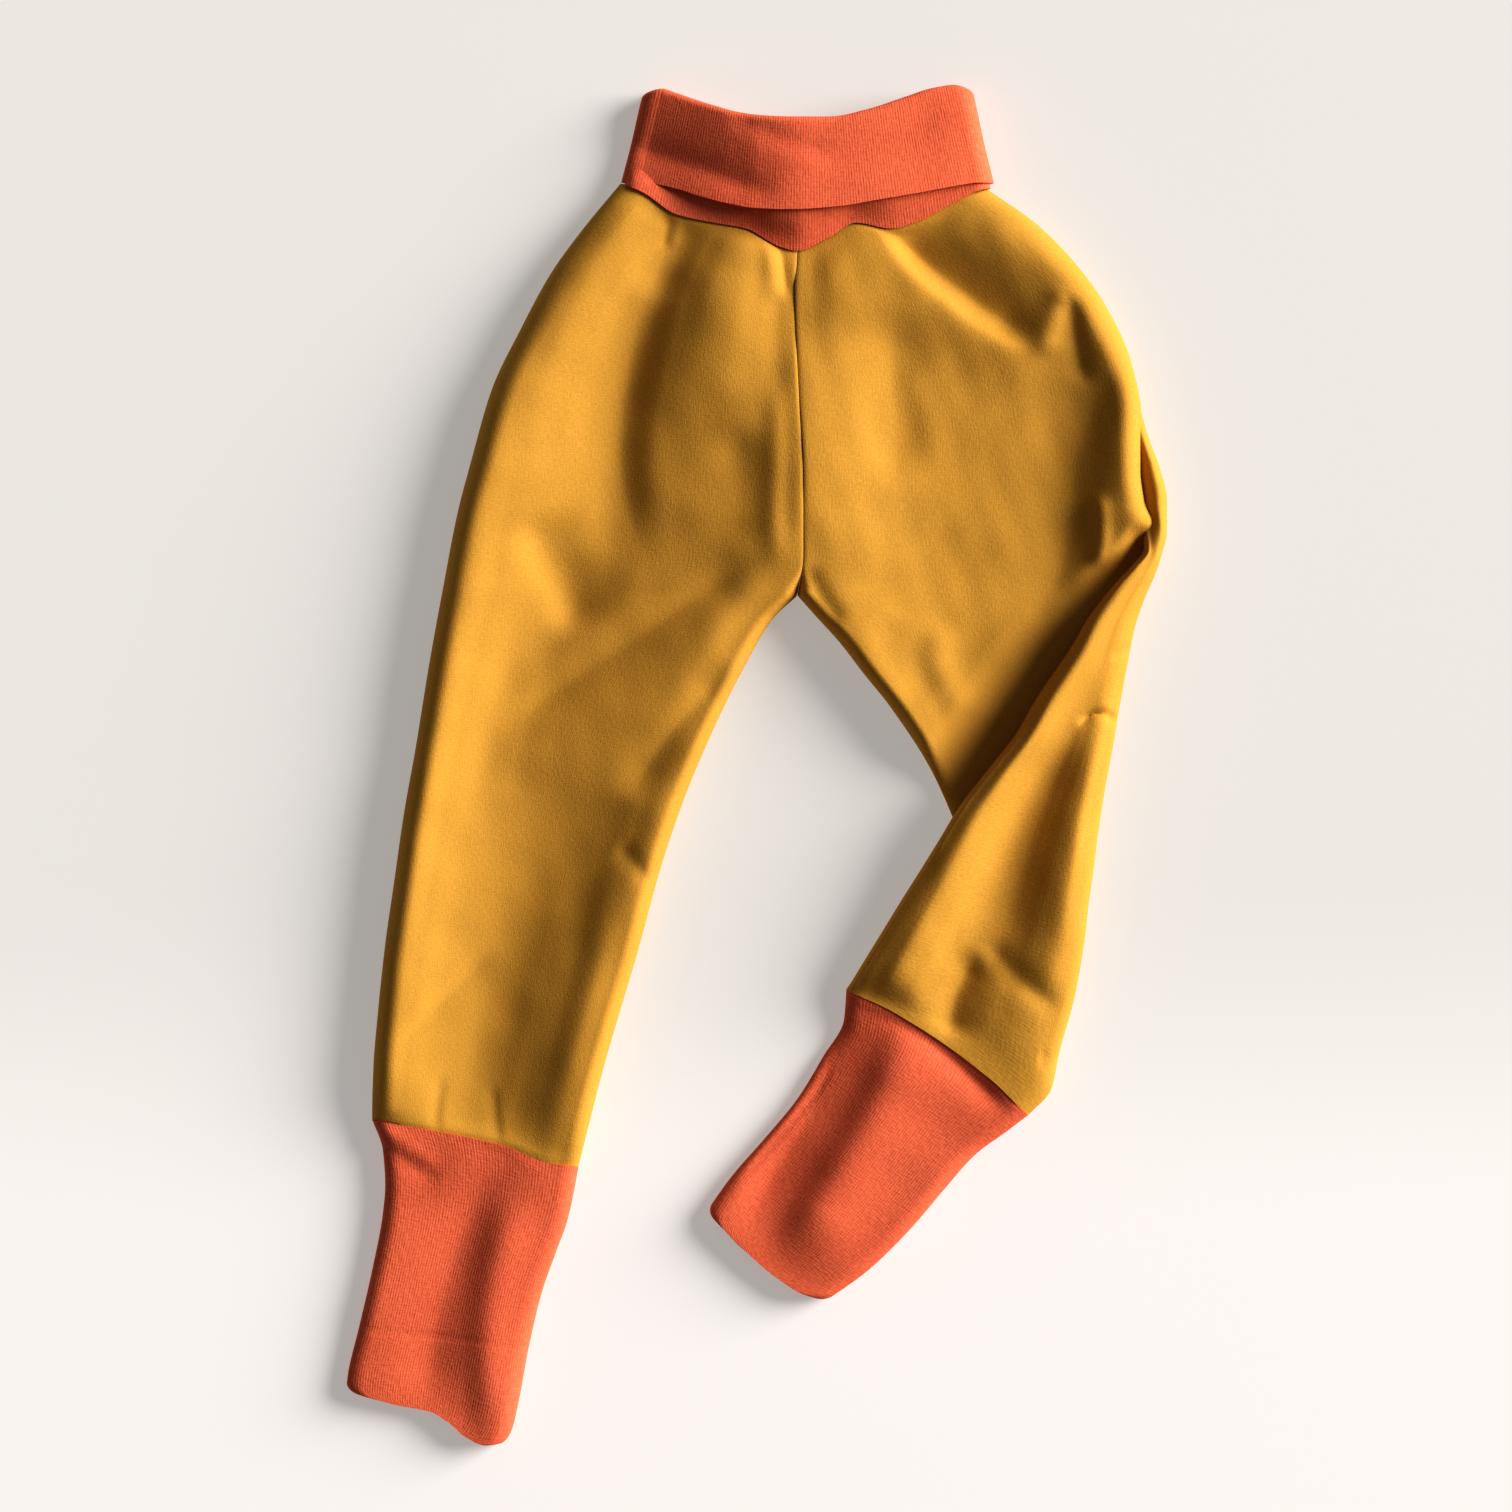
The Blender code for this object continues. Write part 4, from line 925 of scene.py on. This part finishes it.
# %% [markdown]
# ## The waistband
#
# The band goes up from the waist seam, rolls over at the top and comes down again on the
# outside, so its hem lies over the first layer.  Two tubes could stand one over the other,
# but in the knit the ribs run on over the roll.  So the band is one sheet: rows go up, over
# the roll and down, and columns go round the waist.

# %% Cuts and folds of the waistband
Band = namedtuple("Band", "share top_y hem_y swell")
BAND = [
    Band(0.000, 291.4, 251.2, -5.5),
    Band(0.056, 288.8, 249.8, -3.2),
    Band(0.117, 286.0, 247.6, -0.7),
    Band(0.170, 283.8, 245.0, 1.6),
    Band(0.258, 280.6, 241.4, 5.2),
    Band(0.344, 279.0, 239.2, 7.6),
    Band(0.450, 278.4, 238.7, 8.3),
    Band(0.585, 278.6, 240.0, 7.0),
    Band(0.706, 281.7, 242.9, 5.2),
    Band(0.830, 286.8, 246.0, 3.2),
    Band(0.930, 291.0, 248.8, 1.6),
    Band(1.000, 292.6, 250.6, 0.0),
]
BAND_FOLDS = [
    Fold(-2.0, 6, 0.0, [(-60, 270), (-42, 263), (-24, 257), (-6, 250), (12, 246)], 1.7),
    Fold(-0.8, 6, 0.0, [(20, 258), (45, 264), (68, 274), (84, 288)]),
    Fold(-0.9, 5, 0.0, [(-14, 282), (4, 272), (20, 266), (36, 264)]),
]
STRIP_PARTS, FLAP_PARTS = np.linspace(0, 0.85, 14), np.linspace(0, 1, 27)[1:]
BAND_FRONT, BAND_BACK, BAND_CORNER, BAND_TURN = 200, 70, 14, 12
BAND_TOP_X, BAND_HEM_X = (-48.0, 93.0), (-57.5, 102.0)
BAND_SLANT_TOP_Y, BAND_SLANT_HEM_Y = 290.0, 252.0
BAND_HALF_HEIGHT, BAND_ROLL, FLAP_OFFSET, BAND_CORNER_DROP = 5.2, 1.8, 2.3, 1.8
BAND_WAVES = [(45.0, 0.35)]
SWELLS_BY, SETTLES_BY, SEAM_ROUNDS = 0.35, 0.65, 4
print(f"turned-down part: {BAND[0].top_y - BAND[0].hem_y:.1f} mm deep at its right end")


# %% One waistband
def waistband(name, seed):
    """The band as a closed shell: rows over the turn, columns round the waist."""
    corner = np.linspace(0, np.pi, BAND_CORNER + 1)[1:-1]
    front, back = np.linspace(0, 1, BAND_FRONT + 1), np.linspace(1, 0, BAND_BACK + 1)
    share = np.concatenate([front, np.ones(len(corner)), back, np.zeros(len(corner))])
    turn = np.concatenate([0 * front, corner, np.pi + 0 * back, np.pi + corner])
    frontness = (1 + np.cos(turn)) / 2
    top_y, hem_y = smooth(BAND, "share", "top_y", share), smooth(BAND, "share", "hem_y", share)
    swell = smooth(BAND, "share", "swell", share) * frontness
    centre_z = BAND_HALF_HEIGHT + FLAP_OFFSET + BAND_WALL / 2

    def ring(y, offset, swelling):
        slants = (BAND_SLANT_TOP_Y - y[[0, BAND_FRONT]]) / (BAND_SLANT_TOP_Y - BAND_SLANT_HEM_Y)
        start = BAND_TOP_X[0] + (BAND_HEM_X[0] - BAND_TOP_X[0]) * slants[0] + centre_z
        end = BAND_TOP_X[1] + (BAND_HEM_X[1] - BAND_TOP_X[1]) * slants[1] - centre_z
        reach = BAND_HALF_HEIGHT + offset
        x = start + (end - start) * share + reach * np.sin(turn)
        waves = unevenness(x, y, seed, BAND_WAVES) + fold_height(x, y, BAND_FOLDS)
        z = centre_z + reach * np.cos(turn) + (swell + waves * frontness) * swelling
        return np.stack([x, y, z], axis=1)

    seam_y = hem_y
    for _ in range(SEAM_ROUNDS):
        seam_x = ring(seam_y, 0.0, 0.0)[:, 0]
        front_y = smooth(WAIST_SEAM, "x", "y", seam_x)
        back_y = np.interp(seam_x, BACK_WAIST_X, BACK_WAIST_Y)
        seam_y = back_y + (front_y - back_y) * frontness + WAIST_GAP / 2
    roll_y = top_y - BAND_ROLL - BAND_WALL / 2 - BAND_CORNER_DROP * np.sin(turn) ** 2
    rows = []
    for part in STRIP_PARTS:
        rows.append(ring(seam_y + (roll_y - seam_y) * part, 0.0, fade(part, 0, SWELLS_BY)))
    bulge = 2 * BAND_ROLL * frontness + FLAP_OFFSET * (1 - frontness)
    for angle in np.linspace(0, np.pi, BAND_TURN + 1):
        rows.append(ring(roll_y + BAND_ROLL * np.sin(angle), bulge * (1 - np.cos(angle)) / 2, 1.0))
    for part in FLAP_PARTS:
        offset = bulge + (FLAP_OFFSET - bulge) * fade(part, 0, SETTLES_BY)
        rows.append(ring(roll_y + (hem_y - roll_y) * part, offset, 1.0))
    middle = np.array(rows)
    outside = walled(middle, -BAND_WALL / 2, True, False)
    return cloth_piece(name, outside, BAND_WALL, True, False)


# %% The waistband
band = waistband("rib_waistband", 61)

# %% [markdown]
# ## Cloth finishes
#
# Softshell is a close, fine weave with a matt, slightly warm sheen.  Its threads and the
# ribs of the knit are far too fine to model, so they are bump.  Nodes could be placed by
# hand in the Shader Editor.  A few short helpers do the same from here.


# %% Node helpers
def shader_group(name, inputs, outputs):
    """An empty node group with named number inputs and outputs."""
    group = bpy.data.node_groups.new(name, "ShaderNodeTree")
    for label, value in inputs.items():
        socket = group.interface.new_socket(label, in_out="INPUT", socket_type="NodeSocketFloat")
        socket.default_value = value
    for label in outputs:
        group.interface.new_socket(label, in_out="OUTPUT", socket_type="NodeSocketFloat")
    return group, group.nodes.new("NodeGroupInput"), group.nodes.new("NodeGroupOutput")


def node(tree, kind, inputs=(), **settings):
    """A new node with its settings, and with values or links on its inputs."""
    made = tree.nodes.new(kind)
    for label, value in settings.items():
        setattr(made, label, value)
    for label, value in dict(inputs).items():
        if isinstance(value, bpy.types.NodeSocket):
            tree.links.new(value, made.inputs[label])
        else:
            made.inputs[label].default_value = value
    return made


def maths(tree, operation, first, second):
    """A sum, product or the like of two values or sockets."""
    return node(tree, "ShaderNodeMath", {0: first, 1: second}, operation=operation).outputs[0]


# %% Colours and materials
def blended(tree, share, first, second):
    """A colour between two, by a share from 0 to 1."""
    mix = node(tree, "ShaderNodeMix", data_type="RGBA")
    tree.links.new(share, mix.inputs["Factor"])
    for socket, value in zip((mix.inputs[6], mix.inputs[7]), (first, second)):
        socket.default_value = (*value, 1)
    return mix.outputs[2]


def new_material(name, values):
    """A material with its node tree and its shader, whose inputs have these values."""
    material = bpy.data.materials.new(name)
    material.use_nodes = True
    shader = material.node_tree.nodes["Principled BSDF"]
    for label, value in values.items():
        shader.inputs[label].default_value = value
    return material, material.node_tree, shader


# %% [markdown]
# A thread is a long streak of noise.  Two sets of streaks that cross make a woven grain that
# is never quite even.  A Brick texture could draw a weave too, but a perfect one.  Both
# cloths show such a grain, so it is a node group, and it follows the cloth map.


# %% Threads
def thread_group():
    """Two sets of uneven threads that cross at right angles, from 0 to 1."""
    group, given, result = shader_group(
        "crossing_threads", {"Pitch": 0.001, "Stretch": 4.0}, ["Across", "Along"]
    )
    spot = node(group, "ShaderNodeUVMap", uv_map="cloth").outputs[0]
    scale = maths(group, "DIVIDE", 1.0, given.outputs["Pitch"])
    for axis, label in ((0, "Across"), (1, "Along")):
        slow = maths(group, "DIVIDE", scale, given.outputs["Stretch"])
        both = {0: scale, 1: slow} if axis == 0 else {0: slow, 1: scale}
        sizes = node(group, "ShaderNodeCombineXYZ", both).outputs[0]
        stretched = node(group, "ShaderNodeVectorMath", {0: spot, 1: sizes}, operation="MULTIPLY")
        noise = node(
            group,
            "ShaderNodeTexNoise",
            {"Vector": stretched.outputs[0], "Scale": 1.0, "Detail": 1.0},
            noise_dimensions="2D",
        )
        group.links.new(noise.outputs["Fac"], result.inputs[label])
    return group


threads = thread_group()
print("node group:", threads.name)

# %% [markdown]
# The rib knit has even columns of stitches as well, so it takes a wave across the cloth.
# Blender's wave texture repeats after a tenth of pi.

# %% Ribs
WAVE_PERIOD = np.pi / 10


def rib_group():
    """Even ribs along the cloth, slightly wavering, from 0 to 1."""
    group, given, result = shader_group("knitted_ribs", {"Pitch": 0.001}, ["Rib"])
    spot = node(group, "ShaderNodeUVMap", uv_map="cloth").outputs[0]
    scale = maths(group, "DIVIDE", WAVE_PERIOD, given.outputs["Pitch"])
    wave = node(
        group,
        "ShaderNodeTexWave",
        {"Vector": spot, "Scale": scale, "Distortion": 0.5, "Detail": 1.0, "Detail Scale": 0.3},
    )
    group.links.new(wave.outputs["Fac"], result.inputs["Rib"])
    return group


ribs = rib_group()
print("node group:", ribs.name)

# %% [markdown]
# A dye takes unevenly.  Slow mottling, in a third group, makes one colour look like cloth
# instead of paint.


# %% Mottling
def mottle_group():
    """Soft patches, from 0 to 1."""
    group, given, result = shader_group("mottling", {"Patches": 30.0}, ["Patch"])
    spot = node(group, "ShaderNodeTexCoord").outputs["Object"]
    noise = node(
        group,
        "ShaderNodeTexNoise",
        {"Vector": spot, "Scale": given.outputs["Patches"], "Detail": 3.0},
    )
    group.links.new(noise.outputs["Fac"], result.inputs["Patch"])
    return group


mottling = mottle_group()
print("node group:", mottling.name)

# %% [markdown]
# Both cloths share a recipe: a colour between a dark and a light one, threads and ribs as
# bump, a rough surface and some sheen for the nap.  The patches, the grain and the ribs
# each shift the colour a little.  The two sets of threads come to 1 on average and a rib to
# 0.5, so that much is taken away first.  Depths and pitches are in metres.

# %% Cloth materials
Cloth = namedtuple(
    "Cloth", "dark light pitch grain_tint grain_depth rib_tint rib_depth roughness sheen"
)
SOFTSHELL = Cloth(
    (0.44, 0.232, 0.034), (0.60, 0.324, 0.066), 0.0006, 0.55, 0.00009, 0.0, 0.0, 0.85, 0.1
)
RIB_KNIT = Cloth(
    (0.53, 0.098, 0.046), (0.78, 0.196, 0.102), 0.0008, 0.6, 0.00012, 0.25, 0.00005, 0.9, 0.15
)
RIB_PITCH = 0.00115
SPECULAR, SHEEN_ROUGHNESS = 0.15, 0.5
PATCH_TINT, PLAIN_SHARE = 0.5, 0.25
GRAIN_MEAN, RIB_MEAN = 1.0, 0.5
print(f"ribs: {1 / (100 * RIB_PITCH):.1f} to a centimetre")


# %% How a cloth's material is made
def cloth_finish(name, cloth):
    """A cloth's material: mottled dye, uneven threads and, for the knit, ribs."""
    material, tree, shader = new_material(
        name,
        {
            "Roughness": cloth.roughness,
            "Sheen Weight": cloth.sheen,
            "Sheen Roughness": SHEEN_ROUGHNESS,
            "Sheen Tint": (*cloth.light, 1),
            "Specular IOR Level": SPECULAR,
        },
    )
    weave = node(tree, "ShaderNodeGroup", node_tree=threads)
    weave.inputs["Pitch"].default_value = cloth.pitch
    spots = node(tree, "ShaderNodeGroup", node_tree=mottling)
    grain = maths(tree, "ADD", weave.outputs["Across"], weave.outputs["Along"])
    height = maths(tree, "MULTIPLY", grain, cloth.grain_depth)
    grain_tint = maths(tree, "SUBTRACT", grain, GRAIN_MEAN)
    share = maths(tree, "MULTIPLY", grain_tint, cloth.grain_tint)
    patch_tint = maths(tree, "MULTIPLY", spots.outputs["Patch"], PATCH_TINT)
    share = maths(tree, "ADD", share, patch_tint)
    share = maths(tree, "ADD", share, PLAIN_SHARE)
    if cloth.rib_depth:
        knit = node(tree, "ShaderNodeGroup", node_tree=ribs)
        knit.inputs["Pitch"].default_value = RIB_PITCH
        rib_height = maths(tree, "MULTIPLY", knit.outputs["Rib"], cloth.rib_depth)
        height = maths(tree, "ADD", height, rib_height)
        rib_tint = maths(tree, "SUBTRACT", knit.outputs["Rib"], RIB_MEAN)
        share = maths(tree, "ADD", share, maths(tree, "MULTIPLY", rib_tint, cloth.rib_tint))
    bump = node(tree, "ShaderNodeBump", {"Height": height, "Strength": 1.0, "Distance": 1.0})
    tree.links.new(bump.outputs[0], shader.inputs["Normal"])
    colour = blended(tree, share, cloth.dark, cloth.light)
    tree.links.new(colour, shader.inputs["Base Color"])
    return material


# %% Softshell and rib knit
softshell = cloth_finish("softshell_yellow", SOFTSHELL)
rib = cloth_finish("rib_orange", RIB_KNIT)
print("finishes:", softshell.name, rib.name)

# %% [markdown]
# ## Dress the frame
#
# Each shell rides on the one body, takes its material and stands for its solid, which is
# hidden.  Its row also names the solid and the record's finish, and how it lies, how large it is
# laid flat, how much cloth it has and what it rests on.

# %% Dress the frame
Dress = namedtuple("Dress", "piece node slot material held flat area rests_on")
DRESSED = [
    Dress(right_leg, "leg_right", "softshell", softshell, "laid", (0.34, 0.42), 0.105, []),
    Dress(left_thigh, "leg_left", "softshell", softshell, "laid", (0.32, 0.29), 0.065, []),
    Dress(
        left_lower_leg, "leg_left_turned", "softshell", softshell, "folded",
        (0.21, 0.26), 0.034, ["left_thigh"],
    ),
    Dress(right_cuff, "cuff_right", "rib", rib, "laid", (0.17, 0.12), None, []),
    Dress(left_cuff, "cuff_left", "rib", rib, "laid", (0.16, 0.12), None, []),
    Dress(band, "waistband", "rib", rib, "folded", (0.32, 0.09), None, []),
]
for dress in DRESSED:
    dress.piece.data.materials.append(dress.material)
    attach(dress.piece, "root")
    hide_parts(dress.node)
print("dressed:", ", ".join(dress.node for dress in DRESSED))

# %% [markdown]
# ## The surface underneath
#
# The trousers lie on a plain pale surface with painted light: its colour is a little brighter
# towards the cuffs.  A second light could brighten it there, but it would fill the folds too.
# So the surface's own colour carries that light, and a faint painted glow keeps its shadows pale.

# %% Floor
FLOOR_SIZE, FLOOR_Z = 8.0, -0.0002
# Painted light: the second colour is the floor painted brighter towards the cuffs, as a lamp there
# would make it.
PAPER_TOP, PAPER_PAINTED_BRIGHTER = (0.40, 0.391, 0.381), (0.50, 0.480, 0.480)
PAINTED_LIGHT_FADE = (-0.045, -0.20)
# The emission is a painted glow: the floor shines by itself to keep its shadows pale.
PAPER = {
    "Roughness": 0.9,
    "Specular IOR Level": 0.1,
    "Emission Color": (1.0, 0.965, 0.93, 1),
    "Emission Strength": 0.282,
}
bpy.ops.mesh.primitive_plane_add(size=FLOOR_SIZE, location=(0, 0, FLOOR_Z))
floor = bpy.context.object
floor.name = "floor"
paper, paper_tree, paper_shader = new_material("pale_floor", PAPER)
place = node(paper_tree, "ShaderNodeTexCoord").outputs["Object"]
towards_waist = node(paper_tree, "ShaderNodeSeparateXYZ", {0: place}).outputs["Y"]
# The painted light is a soft step in the floor's colour, from the waist's side to the brighter
# cuffs.
painted_light_share = node(
    paper_tree,
    "ShaderNodeMapRange",
    {"Value": towards_waist, "From Min": PAINTED_LIGHT_FADE[0], "From Max": PAINTED_LIGHT_FADE[1]},
    interpolation_type="SMOOTHSTEP",
).outputs[0]
paper_with_painted_light = blended(paper_tree, painted_light_share, PAPER_TOP, PAPER_PAINTED_BRIGHTER)
paper_tree.links.new(paper_with_painted_light, paper_shader.inputs["Base Color"])
floor.data.materials.append(paper)
print("floor:", paper.name)

# %% [markdown]
# ## The light
#
# One large soft light comes from the right and a little from the waist's side, low enough to
# draw the folds, and the sky fills the shade.  A sun lamp could do it too.  A disk is used
# because its size and its distance show at a glance how soft the shadows will be.

# %% Light
KEY_PLACE, KEY_SIZE, KEY_POWER = (21.5, 7.7, 9.3), 16.0, 12000.0
KEY_COLOUR, SKY_COLOUR, SKY_STRENGTH = (1.0, 0.97, 0.93), (0.95, 0.97, 1.0, 1), 0.125
key = bpy.data.lights.new("key", "AREA")
key.energy, key.shape, key.size = KEY_POWER, "DISK", KEY_SIZE
key.color = KEY_COLOUR
key_light = bpy.data.objects.new("key", key)
key_light.location = KEY_PLACE
key_light.rotation_euler = (-key_light.location).to_track_quat("-Z", "Y").to_euler()
bpy.context.scene.collection.objects.link(key_light)
sky = bpy.data.worlds.new("sky")
sky.use_nodes = True
sky.node_tree.nodes["Background"].inputs["Color"].default_value = SKY_COLOUR
sky.node_tree.nodes["Background"].inputs["Strength"].default_value = SKY_STRENGTH
bpy.context.scene.world = sky
view = bpy.context.scene.view_settings
view.view_transform, view.look = "Standard", "High Contrast"
print(f"key light: {KEY_POWER:.0f} W, {key_light.location.length:.1f} m away")

# %% [markdown]
# ## The camera
#
# It looks straight down.  A camera close by would see the cuffs and the band at a slant, so
# a long lens looks from far away instead, and nothing leans.

# %% Camera
VIEW_WIDTH, LENS, SENSOR, CLIP_END = 0.65016, 200.0, 36.0, 50.0
VIEW_CENTRE = (-0.00004, 0.00271)
lens = bpy.data.cameras.new("camera")
lens.lens, lens.sensor_width = LENS, SENSOR
lens.clip_end = CLIP_END
camera = bpy.data.objects.new("camera", lens)
camera.location = (*VIEW_CENTRE, VIEW_WIDTH * LENS / SENSOR)
bpy.context.scene.collection.objects.link(camera)
bpy.context.scene.camera = camera
print(f"camera at {camera.location.z:.2f} m")
